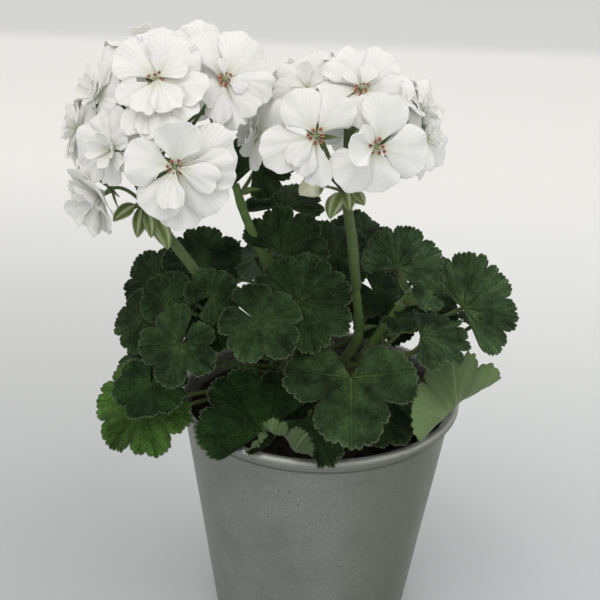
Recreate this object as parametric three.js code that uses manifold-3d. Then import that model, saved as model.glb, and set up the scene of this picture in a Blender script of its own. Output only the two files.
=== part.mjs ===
// A zonal geranium with two white flower heads, growing in a tapered zinc pot.
// Millimetres, +Z up. The origin is the centre of the pot's flat underside, and the plant's front is -Y.
// A direction is given as [azimuth, elevation] in degrees: azimuth 0 looks to the front, 90 to the right,
// and elevation 90 straight up.
import * as THREE from 'three';
import { mergeVertices } from 'three/addons/utils/BufferGeometryUtils.js';
import Module from 'manifold-3d';

const wasm = await Module();
wasm.setup();

// Pot
const POT_HEIGHT = 112;
const POT_BASE_RADIUS = 45;
const POT_TOP_RADIUS = 61.5;
const POT_WALL = 1.2;
const BEAD_RADIUS = 2.3;
const BEAD_SEGMENTS = 6;
const POT_SEGMENTS = 36;

// Soil
const SOIL_DEPTH_BELOW_RIM = 12;
const SOIL_ROUGHNESS = 1.4;
const SOIL_RINGS = 3;
const SOIL_SEGMENTS = 20;

// Pieces that touch keep this gap
const GAP = 0.3;

// Leaves
const LEAF_THICKNESS = 0.9;
const LEAF_SPREAD = 163;
const LOBE_CUT = 0.15;
const TEETH = 3;
const TOOTH_CUT = 0.045;
const BASE_TAPER = 0.14;
const OUTLINE_STEPS = 6;
const MIDDLE_RING = 0.5;
const LEAF_PLEAT = 0.04;
const LEAF_WAVE = 0.07;
const LEAF_CUP = -0.12;
const PETIOLE_RADIUS = 1.1;
const PETIOLE_SEAT = 2;
const PETIOLE_STEPS = 3;
const PETIOLE_SIDES = 3;

// Stem
const STEM_STEPS = 5;
const STEM_SIDES = 6;

// Flowers. The seam between two petals is given as [share of their length, lift], and a petal's outline
// as [share of its length, share of its angle, lift], where a lift is a share of the length too. There is
// one of each for the outer petals of a floret and one for the smaller petals that stand inside them.
const PETAL_THICKNESS = 0.85;
const OUTER_PETALS = 5;
const OUTER_ANGLE = 72;
const INNER_ANGLE = 105;
const WINDING = 0.4;
const FLORET_EYE = 1.5;
const OUTER_SEAM = [0.4, 0.03];
const INNER_SEAM = [0.3, 0.14];
const OUTER_OUTLINE = [[0.84, 0.07, 0.02], [1, 0.3, 0.1], [1, 0.68, 0.08], [0.86, 0.93, 0]];
const INNER_OUTLINE = [[0.6, 0.1, 0.3], [0.72, 0.36, 0.42], [0.7, 0.7, 0.38], [0.58, 0.9, 0.28]];
const PEDUNCLE_RADIUS = 2.1;
const PEDICEL_RADIUS = 0.8;
const CUP_RADIUS = 2.2;
const CUP_SEAT = 1.2;
const HUB_SWELL = 1;
const BUD_SIDES = 5;

// Branches of the woody stem: points along the middle, and the radius at the start and the end
const BRANCHES = {
  main: { points: [[-2, 0, 84], [-2, 0, 102], [-1, 1, 120]], radii: [4.8, 3.8] },
  left: { points: [[-2, 0, 106], [-14, -6, 126], [-26, -12, 142], [-32, -14, 152]], radii: [3.2, 2.6] },
  middle: {
    points: [[-1, 1, 116], [-7, 3, 142], [-17, 0, 165], [-27, -5, 183], [-35, -4, 200], [-39, -2, 212]],
    radii: [3.2, 1.8],
  },
  right: { points: [[-1, 1, 114], [10, -2, 127], [17, -5, 142], [15, -9, 168]], radii: [2.8, 1.8] },
  far_right: {
    points: [[-2, 0, 106], [14, 0, 120], [26, -5, 143], [33, -9, 157], [39, -10, 167]], radii: [3.2, 2],
  },
  back: { points: [[-1, 1, 110], [2, 13, 126], [4, 25, 145], [2, 32, 162]], radii: [3, 2.2] },
};

// Leaves: where the petiole joins the blade, the radius, the lobes, where the upper face looks,
// the turn of the middle lobe away from straight down the slope, and where on which branch it grows.
// Some are fans of less than the usual spread, some lean (one side is longer than the other by that share),
// and some are folded up past a line across the blade.
const LEAVES = {
  front_1: {
    at: [13, -56, 148], size: 31, lobes: 3, teeth: 5, cut: 0.42, spread: 155, face: [2, 60], turn: 0,
    from: ['right', 0.3],
  },
  front_2: {
    at: [-27, -50, 170], size: 20, lobes: 5, cut: 0.22, lean: 0.12, face: [0, 54], turn: 50,
    from: ['left', 0.62],
  },
  front_3: { at: [-10, -32, 171], size: 25, lobes: 7, face: [6, 46], turn: 110, from: ['middle', 0.18] },
  front_4: {
    at: [-5, -51, 125], size: 24, lobes: 5, spread: 112, face: [14, 66], turn: 20, from: ['main', 0.72],
    fold: { towards: -66, start: 12, radius: 2.5, limit: 150 },
  },
  front_5: { at: [29, -43, 121], size: 14, lobes: 5, face: [14, 70], turn: 30, from: ['right', 0.12] },
  front_6: { at: [-12, -33, 126], size: 12, lobes: 5, face: [0, 50], turn: 20, from: ['main', 0.88] },
  left_11: {
    at: [-20, -58, 116], size: 12, lobes: 5, spread: 75, cup: 0.1, face: [0, 42], turn: -130,
    from: ['left', 0.02], fold: { towards: 0, start: 4, radius: 2, limit: 150 },
  },
  left_1: {
    at: [-23, -51, 118], size: 31, lobes: 3, teeth: 4, spread: 93, cup: 0.2, face: [-12, 50], turn: -136,
    from: ['left', 0.12],
  },
  left_2: {
    at: [-58, -50, 158], size: 19, lobes: 5, cut: 0.3, lean: -0.2, face: [-16, 42], turn: -8,
    from: ['left', 0.75],
  },
  left_3: { at: [-72, -44, 136], size: 18, lobes: 5, face: [-16, 60], turn: 0, from: ['left', 0.3] },
  left_4: {
    at: [-75, -41, 125], size: 25, lobes: 5, spread: 138, face: [-24, 44], turn: -25, from: ['left', 0.2],
  },
  left_5: { at: [-65, -31, 169], size: 14, lobes: 5, face: [-15, 32], turn: -125, from: ['left', 0.66] },
  left_6: { at: [-47, -37, 175], size: 13, lobes: 5, face: [8, 36], turn: 130, from: ['middle', 0.3] },
  left_7: { at: [-77, -14, 152], size: 17, lobes: 5, face: [-32, 42], turn: -70, from: ['left', 0.5] },
  left_8: { at: [-72, 2, 163], size: 19, lobes: 5, face: [-28, 40], turn: -115, from: ['left', 0.7] },
  left_9: { at: [-75, -20, 134], size: 16, lobes: 5, face: [-28, 45], turn: -60, from: ['left', 0.4] },
  left_10: { at: [-46, -31, 157], size: 11, lobes: 5, face: [-5, 45], turn: 20, from: ['left', 0.48] },
  right_1: {
    at: [32, -15, 181], size: 21, lobes: 5, lean: -0.2, spread: 120, face: [6, 36], turn: 160,
    from: ['far_right', 1],
  },
  right_2: {
    at: [62, -15, 163], size: 28, lobes: 5, spread: 106, face: [16, 38], turn: 120, from: ['far_right', 0.6],
  },
  right_3: {
    at: [43, -27, 155], size: 23, lobes: 5, spread: 100, face: [12, 76], turn: 80, from: ['far_right', 0.4],
  },
  right_4: {
    at: [55, -31, 120], size: 32, lobes: 5, face: [-46, 69], turn: 180, from: ['far_right', 0.08],
    fold: { towards: -90, start: 0, radius: 5, limit: 120 },
  },
  right_5: { at: [46, -30, 176], size: 8.5, lobes: 5, face: [16, 50], turn: -110, from: ['far_right', 0.93] },
  right_6: { at: [34, -21, 159], size: 9, lobes: 5, face: [10, 80], turn: 30, from: ['far_right', 0.5] },
  right_7: { at: [51, 3, 153], size: 12, lobes: 5, face: [10, 50], turn: 60, from: ['far_right', 0.64] },
  top_1: {
    at: [-18, -12, 185], size: 22, lobes: 5, spread: 118, face: [4, 34], turn: 138, from: ['middle', 0.5],
  },
  top_2: {
    at: [-18, 7, 199], size: 20, lobes: 5, spread: 112, face: [0, 72], turn: 175, from: ['middle', 0.66],
  },
  top_3: { at: [-31, 6, 218], size: 18, lobes: 5, face: [-8, 44], turn: 160, from: ['middle', 0.95] },
  top_4: { at: [-53, -8, 176], size: 20, lobes: 5, face: [-12, 44], turn: -170, from: ['middle', 0.44] },
  top_5: { at: [5, 6, 178], size: 19, lobes: 5, face: [20, 50], turn: 60, from: ['middle', 0.36] },
  top_6: { at: [23, 3, 162], size: 14, lobes: 5, face: [20, 48], turn: 30, from: ['right', 0.6] },
  top_7: { at: [17, 22, 179], size: 17, lobes: 5, face: [20, 60], turn: 150, from: ['back', 0.95] },
  back_1: { at: [-58, 26, 162], size: 26, lobes: 5, face: [-120, 50], turn: 0, from: ['middle', 0.28] },
  back_2: { at: [-30, 50, 156], size: 27, lobes: 5, face: [-160, 48], turn: 10, from: ['back', 0.55] },
  back_3: { at: [15, 58, 158], size: 27, lobes: 5, face: [172, 48], turn: -10, from: ['back', 0.8] },
  back_4: { at: [44, 44, 152], size: 27, lobes: 5, face: [135, 46], turn: 0, from: ['back', 0.45] },
  back_5: { at: [71, 12, 145], size: 20, lobes: 5, face: [100, 42], turn: 10, from: ['far_right', 0.28] },
  back_6: { at: [-14, 34, 176], size: 21, lobes: 5, face: [180, 66], turn: 0, from: ['back', 0.9] },
  back_7: { at: [-76, 12, 135], size: 25, lobes: 5, face: [-95, 38], turn: 0, from: ['left', 0.18] },
  back_8: { at: [29, 11, 151], size: 20, lobes: 5, face: [10, 50], turn: 30, from: ['back', 0.3] },
  back_9: { at: [-50, 5, 147], size: 15, lobes: 5, face: [-8, 42], turn: -30, from: ['left', 0.36] },
};

// Flower heads: the peduncle's middle line up to the hub, the florets (centre, where they look, petal
// length, number of inner petals, turn) and the unopened buds (tip, where they point, length, radius)
const HEADS = {
  left: {
    peduncle: [[-30, -15, 147], [-42, -22, 163], [-53, -25, 179], [-63, -24, 192], [-77, -22, 210]],
    florets: [
      { at: [-60, -58, 240], face: [0, 18], size: 24, inner: 3, turn: 0 },
      { at: [-69, -36, 266], face: [-4, 48], size: 24, inner: 3, turn: 20 },
      { at: [-44, -31, 266], face: [28, 42], size: 20, inner: 2, turn: 10 },
      { at: [-92, -22, 254], face: [-52, 34], size: 19, inner: 1, turn: 30 },
      { at: [-100, -14, 238], face: [-78, 12], size: 18, inner: 2, turn: 0 },
      { at: [-84, -44, 241], face: [-34, 12], size: 20, inner: 2, turn: 15 },
      { at: [-90, -33, 219], face: [-50, -22], size: 17, inner: 2, turn: 40 },
      { at: [-53, -14, 269], face: [44, 62], size: 20, inner: 1, turn: 25 },
      { at: [-74, 2, 267], face: [170, 66], size: 21, inner: 1, turn: 5 },
      { at: [-94, 6, 252], face: [-120, 36], size: 19, inner: 1, turn: 35 },
      { at: [-64, 14, 247], face: [168, 24], size: 21, inner: 1, turn: 12 },
      { at: [-50, -2, 245], face: [100, 12], size: 17, inner: 1, turn: 50 },
      { at: [-84, 10, 234], face: [-150, 4], size: 19, inner: 1, turn: 22 },
    ],
    buds: [
      { tip: [-88, -32, 205], length: 12, face: [-40, -50], radius: 2.8 },
      { tip: [-78, -34, 199], length: 15, face: [-20, -66], radius: 3.0 },
      { tip: [-72, -36, 200], length: 12, face: [-4, -68], radius: 2.8 },
      { tip: [-65, -36, 195], length: 15, face: [24, -62], radius: 3.6 },
    ],
  },
  right: {
    peduncle: [[15, -9, 168], [14, -11, 177], [12, -12, 193], [8, -12, 214]],
    florets: [
      { at: [-5, -48, 251], face: [-6, 22], size: 22, inner: 2, turn: 10 },
      { at: [18, -46, 247], face: [12, 18], size: 21, inner: 3, turn: 30 },
      { at: [12, -27, 262], face: [6, 56], size: 21, inner: 3, turn: 0 },
      { at: [-9, -17, 258], face: [-10, 54], size: 20, inner: 2, turn: 20 },
      { at: [-26, -23, 242], face: [-62, 18], size: 17, inner: 2, turn: 10 },
      { at: [36, -12, 249], face: [70, 34], size: 18, inner: 1, turn: 40 },
      { at: [37, -17, 240], face: [62, 24], size: 17, inner: 1, turn: 15 },
      { at: [12, 0, 262], face: [120, 74], size: 20, inner: 1, turn: 25 },
      { at: [-16, 6, 250], face: [-130, 34], size: 20, inner: 1, turn: 5 },
      { at: [8, 20, 248], face: [176, 34], size: 20, inner: 1, turn: 35 },
      { at: [31, 10, 243], face: [130, 24], size: 19, inner: 1, turn: 18 },
      { at: [12, 13, 236], face: [165, 10], size: 20, inner: 1, turn: 45 },
    ],
    buds: [
      { tip: [-11, -30, 219], length: 12, face: [-40, -36], radius: 3.8 },
      { tip: [2, -28, 208], length: 14, face: [-8, -70], radius: 3.7 },
      { tip: [10, -26, 211], length: 12, face: [14, -66], radius: 3.3 },
      { tip: [16, -24, 213], length: 10, face: [40, -56], radius: 2.8 },
    ],
  },
};

const UP = new THREE.Vector3(0, 0, 1);
const radians = THREE.MathUtils.degToRad;
const vector = (values) => new THREE.Vector3(...values);

const materials = {
  zinc: new THREE.MeshStandardMaterial({ color: 0x8b8e88, roughness: 0.45, metalness: 0.8 }),
  soil: new THREE.MeshStandardMaterial({ color: 0x33272a, roughness: 0.95 }),
  stem: new THREE.MeshStandardMaterial({ color: 0x5c6b35, roughness: 0.75 }),
  leaf: new THREE.MeshStandardMaterial({ color: 0x2c4a2c, roughness: 0.8 }),
  stalk: new THREE.MeshStandardMaterial({ color: 0x54762f, roughness: 0.7 }),
  petal: new THREE.MeshStandardMaterial({ color: 0xf2f2ee, roughness: 0.6 }),
};

/** Unit vector of a direction given as azimuth and elevation. */
function direction([azimuth, elevation]) {
  const across = Math.cos(radians(elevation));
  return new THREE.Vector3(
    Math.sin(radians(azimuth)) * across,
    -Math.cos(radians(azimuth)) * across,
    Math.sin(radians(elevation)),
  );
}

/** Unit vector that points straight down the slope of a face which looks in the given direction. */
function downSlope([azimuth, elevation]) {
  return direction([azimuth, elevation - 90]);
}

/** Random numbers from 0 to 1 that are the same for the same seed. */
function seeded(seed) {
  let state = seed;
  return () => {
    state = (state * 1664525 + 1013904223) % 4294967296;
    return state / 4294967296;
  };
}

/** Indexed geometry from a list of points and a flat list of triangle corners. */
function indexed(points, corners) {
  const geometry = new THREE.BufferGeometry();
  geometry.setFromPoints(points);
  geometry.setIndex(corners);
  return geometry;
}

/** Solid of a closed geometry. */
function solidOf(geometry) {
  const bare = geometry.clone();
  bare.deleteAttribute('normal');
  bare.deleteAttribute('uv');
  const merged = mergeVertices(bare, 1e-4);
  return new wasm.Manifold(new wasm.Mesh({
    numProp: 3,
    vertProperties: new Float32Array(merged.attributes.position.array),
    triVerts: new Uint32Array(merged.index.array),
  }));
}

/** One solid from a list of solids that cross each other. */
function joined(solids) {
  return solids.reduce((whole, solid) => whole.add(solid));
}

/** The largest body of a solid, without the scraps that a cut leaves. */
function largestBody(solid) {
  return solid.decompose().reduce((best, body) => (body.volume() > best.volume() ? body : best));
}

/** Named mesh of a solid. */
function meshOf(name, solid, material) {
  const { vertProperties, triVerts } = solid.getMesh();
  const geometry = new THREE.BufferGeometry();
  geometry.setAttribute('position', new THREE.Float32BufferAttribute(vertProperties, 3));
  geometry.setIndex(Array.from(triVerts));
  geometry.computeVertexNormals();
  const mesh = new THREE.Mesh(geometry, material);
  mesh.name = name;
  return mesh;
}

/** Closed tube along a curve, with a radius that depends on the share of the way along it. */
function tube(curve, steps, sides, radiusAt) {
  const frames = curve.computeFrenetFrames(steps, false);
  const points = [];
  const corners = [];
  for (let step = 0; step <= steps; step += 1) {
    const centre = curve.getPointAt(step / steps);
    const radius = radiusAt(step / steps);
    for (let side = 0; side < sides; side += 1) {
      const angle = (side / sides) * 2 * Math.PI;
      points.push(centre.clone()
        .addScaledVector(frames.normals[step], radius * Math.cos(angle))
        .addScaledVector(frames.binormals[step], radius * Math.sin(angle)));
    }
  }
  for (let step = 0; step < steps; step += 1) {
    for (let side = 0; side < sides; side += 1) {
      const near = step * sides + side;
      const beside = step * sides + ((side + 1) % sides);
      corners.push(near, beside, beside + sides, near, beside + sides, near + sides);
    }
  }
  const last = steps * sides;
  for (let side = 1; side < sides - 1; side += 1) {
    corners.push(0, side + 1, side, last, last + side, last + side + 1);
  }
  return solidOf(indexed(points, corners));
}

/** Closed blade between an upper and a lower face that are split into triangles alike. */
function blade(upper, lower, triangles, rim) {
  const count = upper.length;
  const corners = [];
  triangles.forEach(([a, b, c]) => corners.push(a, b, c, count + a, count + c, count + b));
  rim.forEach((from, place) => {
    const to = rim[(place + 1) % rim.length];
    corners.push(from, count + from, count + to, from, count + to, to);
  });
  return solidOf(indexed([...upper, ...lower], corners));
}

/** Upper and lower points, half a thickness to each side of a surface given by surface(a, b). */
function bothFaces(places, thickness, surface) {
  const upper = [];
  const lower = [];
  const step = 0.2;
  places.forEach(([a, b]) => {
    const along = surface(a + step, b).sub(surface(a - step, b));
    const across = surface(a, b + step).sub(surface(a, b - step));
    const normal = along.cross(across).normalize();
    const centre = surface(a, b);
    upper.push(centre.clone().addScaledVector(normal, thickness / 2));
    lower.push(centre.clone().addScaledVector(normal, -thickness / 2));
  });
  return { upper, lower };
}

/** Radius of a blade at a share (-1 to 1) of its spread: round-toothed lobes with notches between. */
function leafRadius({ size, lobes, teeth = TEETH, cut = LOBE_CUT, lean = 0 }, share) {
  const place = ((share + 1) / 2) * lobes;
  const across = place - Math.floor(place + 1e-6);
  const notch = Math.abs(2 * across - 1) ** 3;
  const tooth = (1 + Math.cos(2 * Math.PI * teeth * across)) / 2;
  const side = (1 - BASE_TAPER * share ** 2) * (1 + lean * share);
  return size * side * (1 - cut * notch - TOOTH_CUT * tooth);
}

/** Number of steps of a blade's middle ring; its outline has OUTLINE_STEPS times as many. */
function ringSteps({ lobes, teeth = TEETH }) {
  return (2 * lobes * teeth) / OUTLINE_STEPS;
}

/** A flat place moved along and up by a fold of the blade that starts at a line and ends at its limit. */
function folded(fold, along, across, height) {
  const foldAlong = Math.cos(radians(fold.towards));
  const foldAcross = Math.sin(radians(fold.towards));
  const past = along * foldAlong + across * foldAcross - fold.start;
  if (past <= 0) {
    return [along, across, height];
  }
  const bend = Math.min(past / fold.radius, radians(fold.limit));
  const straight = past - bend * fold.radius;
  const moved = (fold.radius - height) * Math.sin(bend) + straight * Math.cos(bend) - past;
  const lifted = fold.radius - (fold.radius - height) * Math.cos(bend) + straight * Math.sin(bend);
  return [along + moved * foldAlong, across + moved * foldAcross, lifted];
}

/** Point of a leaf's middle surface, from its place along (a) and across (b) the flat blade. */
function leafSurface(leaf, a, b) {
  const { size, lobes, face, turn, spread = LEAF_SPREAD, cup = LEAF_CUP, wave = 0, fold } = leaf;
  const reach = Math.hypot(a, b) / size;
  const angle = Math.atan2(b, a);
  const pleat = Math.cos((Math.PI * (angle / radians(spread) + 1)) * lobes);
  const wavy = Math.sin(3 * angle + radians(wave));
  const height = size * ((cup + LEAF_WAVE * wavy) * reach ** 2 + LEAF_PLEAT * reach * pleat);
  const [along, across, lift] = fold ? folded(fold, a, b, height) : [a, b, height];
  const normal = direction(face);
  const down = downSlope(face);
  const tip = down.clone().applyAxisAngle(normal, radians(turn));
  return vector(leaf.at)
    .addScaledVector(tip, along)
    .addScaledVector(normal.clone().cross(tip), across)
    .addScaledVector(normal, lift);
}

/** Places of a blade's corners in the flat: the joint, a middle ring, then the toothed outline. */
function leafPlaces(leaf) {
  const spread = radians(leaf.spread ?? LEAF_SPREAD);
  const rings = ringSteps(leaf);
  const places = [[0, 0]];
  const add = (share, radius) => {
    places.push([radius * Math.cos(share * spread), radius * Math.sin(share * spread)]);
  };
  for (let i = 0; i <= rings; i += 1) {
    add((2 * i) / rings - 1, leaf.size * MIDDLE_RING);
  }
  for (let i = 0; i <= rings * OUTLINE_STEPS; i += 1) {
    const share = (2 * i) / (rings * OUTLINE_STEPS) - 1;
    add(share, leafRadius(leaf, share));
  }
  return places;
}

/** Triangles between a centre, a middle ring and an outline with OUTLINE_STEPS times as many steps. */
function fanTriangles(middle, edge, rings) {
  const half = OUTLINE_STEPS / 2;
  const triangles = [];
  for (let i = 0; i < rings; i += 1) {
    const first = i * OUTLINE_STEPS;
    triangles.push([0, middle(i), middle(i + 1)], [middle(i), edge(first + half), middle(i + 1)]);
    for (let step = 0; step < OUTLINE_STEPS; step += 1) {
      triangles.push([middle(step < half ? i : i + 1), edge(first + step), edge(first + step + 1)]);
    }
  }
  return triangles;
}

/** Blade of a leaf, with its lobes, teeth, pleats and waves. */
function leafBlade(leaf) {
  const rings = ringSteps(leaf);
  const middle = (i) => 1 + i;
  const edge = (i) => 2 + rings + i;
  const rim = [0, middle(0)];
  for (let i = 0; i <= rings * OUTLINE_STEPS; i += 1) {
    rim.push(edge(i));
  }
  rim.push(middle(rings));
  const { upper, lower } = bothFaces(leafPlaces(leaf), LEAF_THICKNESS, (a, b) => leafSurface(leaf, a, b));
  return blade(upper, lower, fanTriangles(middle, edge, rings), rim);
}

/** Middle line of a branch. */
function branchCurve(name) {
  return new THREE.CatmullRomCurve3(BRANCHES[name].points.map(vector));
}

/** Middle line of a petiole, out of its branch, up, and to the back of its blade. */
function petioleCurve(leaf) {
  const [branch, share] = leaf.from;
  const start = branchCurve(branch).getPointAt(share);
  const end = leafSurface(leaf, PETIOLE_SEAT, 0).addScaledVector(direction(leaf.face), -LEAF_THICKNESS * 0.1);
  const length = start.distanceTo(end);
  const outward = new THREE.Vector3(end.x - start.x, end.y - start.y, 0).multiplyScalar(0.3);
  const leave = start.clone().add(outward).addScaledVector(UP, length * 0.12);
  const arrive = end.clone().addScaledVector(direction(leaf.face), -length * 0.3);
  return new THREE.CubicBezierCurve3(start, leave, arrive, end);
}

/** A leaf with its petiole, cut clear of the stem that carries it. */
function leafSolid(leaf, stemRoom) {
  const petiole = tube(petioleCurve(leaf), PETIOLE_STEPS, PETIOLE_SIDES, () => PETIOLE_RADIUS);
  return largestBody(leafBlade(leaf).add(petiole).subtract(stemRoom));
}

/** The stem with all its branches, thicker all over by the given extra. */
function stemSolid(extra = 0) {
  return joined(Object.keys(BRANCHES).map((name) => {
    const [start, end] = BRANCHES[name].radii;
    const radiusAt = (share) => THREE.MathUtils.lerp(start, end, share) + extra;
    return tube(branchCurve(name), STEM_STEPS, STEM_SIDES, radiusAt);
  }));
}

/** Pot: one thin wall turned round the axis, with a flat floor and a rolled bead at the rim. */
function potSolid() {
  const beadCentre = new THREE.Vector2(POT_TOP_RADIUS + BEAD_RADIUS / 2, POT_HEIGHT - BEAD_RADIUS);
  const profile = [new THREE.Vector2(0, 0), new THREE.Vector2(POT_BASE_RADIUS, 0)];
  for (let i = 0; i <= BEAD_SEGMENTS; i += 1) {
    const angle = radians(-120 + (270 * i) / BEAD_SEGMENTS);
    const around = new THREE.Vector2(Math.cos(angle), Math.sin(angle));
    profile.push(around.multiplyScalar(BEAD_RADIUS).add(beadCentre));
  }
  profile.push(
    new THREE.Vector2(POT_TOP_RADIUS - POT_WALL, POT_HEIGHT - 2 * BEAD_RADIUS),
    new THREE.Vector2(POT_BASE_RADIUS - POT_WALL, POT_WALL),
    new THREE.Vector2(0, POT_WALL),
  );
  return solidOf(turned(profile, POT_SEGMENTS));
}

/** A closed profile of radius and height turned round the Z axis. */
function turned(profile, segments) {
  return new THREE.LatheGeometry(profile, segments).rotateX(Math.PI / 2);
}

/** Inner radius of the pot at a height. */
function potInside(height) {
  const share = (height - POT_WALL) / (POT_HEIGHT - 2 * BEAD_RADIUS - POT_WALL);
  return THREE.MathUtils.lerp(POT_BASE_RADIUS, POT_TOP_RADIUS, share) - POT_WALL;
}

/** Soil that fills the pot, with a lumpy top and a plain hole for the stem. */
function soilSolid(stemRoom) {
  const random = seeded(5);
  const top = POT_HEIGHT - SOIL_DEPTH_BELOW_RIM;
  const bottom = POT_WALL + GAP;
  const rim = potInside(top) - GAP;
  const points = [new THREE.Vector3(0, 0, bottom), new THREE.Vector3(0, 0, top)];
  const ringAt = (radius, height, lumps) => {
    for (let i = 0; i < SOIL_SEGMENTS; i += 1) {
      const angle = (2 * Math.PI * i) / SOIL_SEGMENTS;
      const lift = lumps * (random() - 0.5) * 2 * SOIL_ROUGHNESS;
      points.push(new THREE.Vector3(radius * Math.cos(angle), radius * Math.sin(angle), height + lift));
    }
  };
  ringAt(potInside(bottom) - GAP, bottom, 0);
  ringAt(rim, top, 0);
  for (let ring = SOIL_RINGS - 1; ring > 0; ring -= 1) {
    ringAt((rim * ring) / SOIL_RINGS, top, 1);
  }
  const corners = [];
  const place = (ring, i) => 2 + ring * SOIL_SEGMENTS + (i % SOIL_SEGMENTS);
  for (let i = 0; i < SOIL_SEGMENTS; i += 1) {
    corners.push(0, place(0, i + 1), place(0, i));
    for (let ring = 0; ring < SOIL_RINGS; ring += 1) {
      corners.push(place(ring, i), place(ring, i + 1), place(ring + 1, i + 1));
      corners.push(place(ring, i), place(ring + 1, i + 1), place(ring + 1, i));
    }
    corners.push(1, place(SOIL_RINGS, i), place(SOIL_RINGS, i + 1));
  }
  return largestBody(solidOf(indexed(points, corners)).subtract(stemRoom));
}

/** Point above a floret's centre plane, at a distance and an angle from its centre. */
function floretPoint(floret, distance, angle, height) {
  const normal = direction(floret.face);
  const outward = downSlope(floret.face).applyAxisAngle(normal, angle);
  return vector(floret.at).addScaledVector(outward, distance).addScaledVector(normal, height);
}

/** Places of a floret's corners as [distance, angle, height], petal after petal. */
function floretPlaces(floret, random) {
  const petals = OUTER_PETALS + floret.inner;
  const places = [];
  let start = radians(floret.turn);
  for (let i = 0; i <= petals; i += 1) {
    const inner = i >= OUTER_PETALS;
    const width = radians(inner ? INNER_ANGLE : OUTER_ANGLE);
    const length = floret.size * (0.95 + 0.09 * random());
    const droop = floret.size * (inner ? 0 : 0.12 * random());
    const climb = WINDING * i;
    const [seamShare, seamLift] = inner ? INNER_SEAM : OUTER_SEAM;
    places.push([FLORET_EYE, start, climb], [length * seamShare, start, climb + length * seamLift]);
    if (i < petals) {
      (inner ? INNER_OUTLINE : OUTER_OUTLINE).forEach(([share, angle, lift]) => {
        places.push([length * share, start + width * angle, climb + length * lift - droop]);
      });
    }
    start += width;
  }
  return places;
}

/** All petals of one floret as one blade, which winds up from the outer petals to the inner ones. */
function floretSolid(floret, seed) {
  const places = floretPlaces(floret, seeded(seed));
  const petals = OUTER_PETALS + floret.inner;
  const step = 2 + OUTER_OUTLINE.length;
  const triangles = [];
  const rim = [];
  for (let first = 0; first < petals * step; first += step) {
    const [eye, seam, left, upper, lower, right] = [0, 1, 2, 3, 4, 5].map((place) => first + place);
    const nextEye = eye + step;
    const nextSeam = seam + step;
    triangles.push([eye, seam, nextSeam], [eye, nextSeam, nextEye], [seam, left, upper]);
    triangles.push([seam, upper, lower], [seam, lower, nextSeam], [nextSeam, lower, right]);
    rim.push(seam, left, upper, lower, right);
  }
  rim.push(petals * step + 1);
  for (let i = petals; i >= 0; i -= 1) {
    rim.push(i * step);
  }
  const at = (side) => places.map(([distance, angle, height]) => (
    floretPoint(floret, distance, angle, height + side * PETAL_THICKNESS)));
  return blade(at(0.5), at(-0.5), triangles, rim);
}

/** Thin stalk from the hub that ends in the cup behind a floret, or in a closed bud. */
function pedicel(hub, end, facing, sides, steps, radiusAt) {
  const arrive = end.clone().addScaledVector(facing, -hub.distanceTo(end) * 0.35);
  const curve = new THREE.QuadraticBezierCurve3(hub, arrive, end);
  return tube(curve, steps, sides, radiusAt);
}

/** Stalk and green cup of a floret, which end just behind the petals. */
function floretStalk(hub, floret, extra) {
  const facing = direction(floret.face);
  const seat = vector(floret.at).addScaledVector(facing, -CUP_SEAT);
  return pedicel(hub, seat, facing, 3, 3, (share) => extra + (share === 1 ? CUP_RADIUS : PEDICEL_RADIUS));
}

/** Stalk and unopened bud, thickest below its middle and pointed at the tip. */
function budStalk(hub, bud, extra) {
  const end = vector(bud.tip);
  const budShare = Math.min(0.8, bud.length / hub.distanceTo(end));
  const swell = (share) => Math.sin(Math.PI * Math.max(0, (share - 1 + budShare) / budShare) ** 0.8);
  return pedicel(hub, end, direction(bud.face), BUD_SIDES, 6, (share) => (
    extra + Math.max(PEDICEL_RADIUS * (1 - 0.5 * share), bud.radius * swell(share))));
}

/** Green part of a flower head: peduncle, hub, pedicels with their cups, and buds. */
function stalkSolid(head, extra = 0) {
  const curve = new THREE.CatmullRomCurve3(head.peduncle.map(vector));
  const hub = curve.getPointAt(1);
  const parts = [tube(curve, 5, 6, (share) => PEDUNCLE_RADIUS + extra + (share === 1 ? HUB_SWELL : 0))];
  head.florets.forEach((floret) => parts.push(floretStalk(hub, floret, extra)));
  head.buds.forEach((bud) => parts.push(budStalk(hub, bud, extra)));
  return joined(parts);
}

/** All white petals of a head, joined where neighbouring florets meet. */
function floretsSolid(head) {
  return joined(head.florets.map((floret, place) => floretSolid(floret, 11 + place)));
}

/** The whole plant in its pot. */
function geranium() {
  const group = new THREE.Group();
  const stem = stemSolid();
  const stemRoom = stemSolid(GAP);
  group.add(meshOf('pot', potSolid(), materials.zinc));
  group.add(meshOf('soil', soilSolid(stemRoom), materials.soil));
  group.add(meshOf('stem', stem, materials.stem));
  Object.entries(LEAVES).forEach(([name, leaf]) => {
    group.add(meshOf(`leaf_${name}`, leafSolid(leaf, stemRoom), materials.leaf));
  });
  Object.entries(HEADS).forEach(([name, head]) => {
    const stalk = largestBody(stalkSolid(head).subtract(stemRoom));
    const florets = floretsSolid(head).subtract(stalkSolid(head, GAP));
    group.add(meshOf(`flower_stalk_${name}`, stalk, materials.stalk));
    group.add(meshOf(`florets_${name}`, florets, materials.petal));
  });
  return group;
}

export default geranium();
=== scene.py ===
"""Looks of a potted zonal geranium with two white flower heads.

The plant's own sizes are in millimetres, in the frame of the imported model: +Z up, the front is -Y, and the
origin is the centre of the pot's underside. A direction is (azimuth, elevation) in degrees: azimuth 0 looks
to the front, 90 to the right, and elevation 90 straight up. Blender's own lengths are in metres.
"""

import math
from functools import partial

import bpy
import numpy as np
from mathutils import Matrix, Vector


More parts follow.
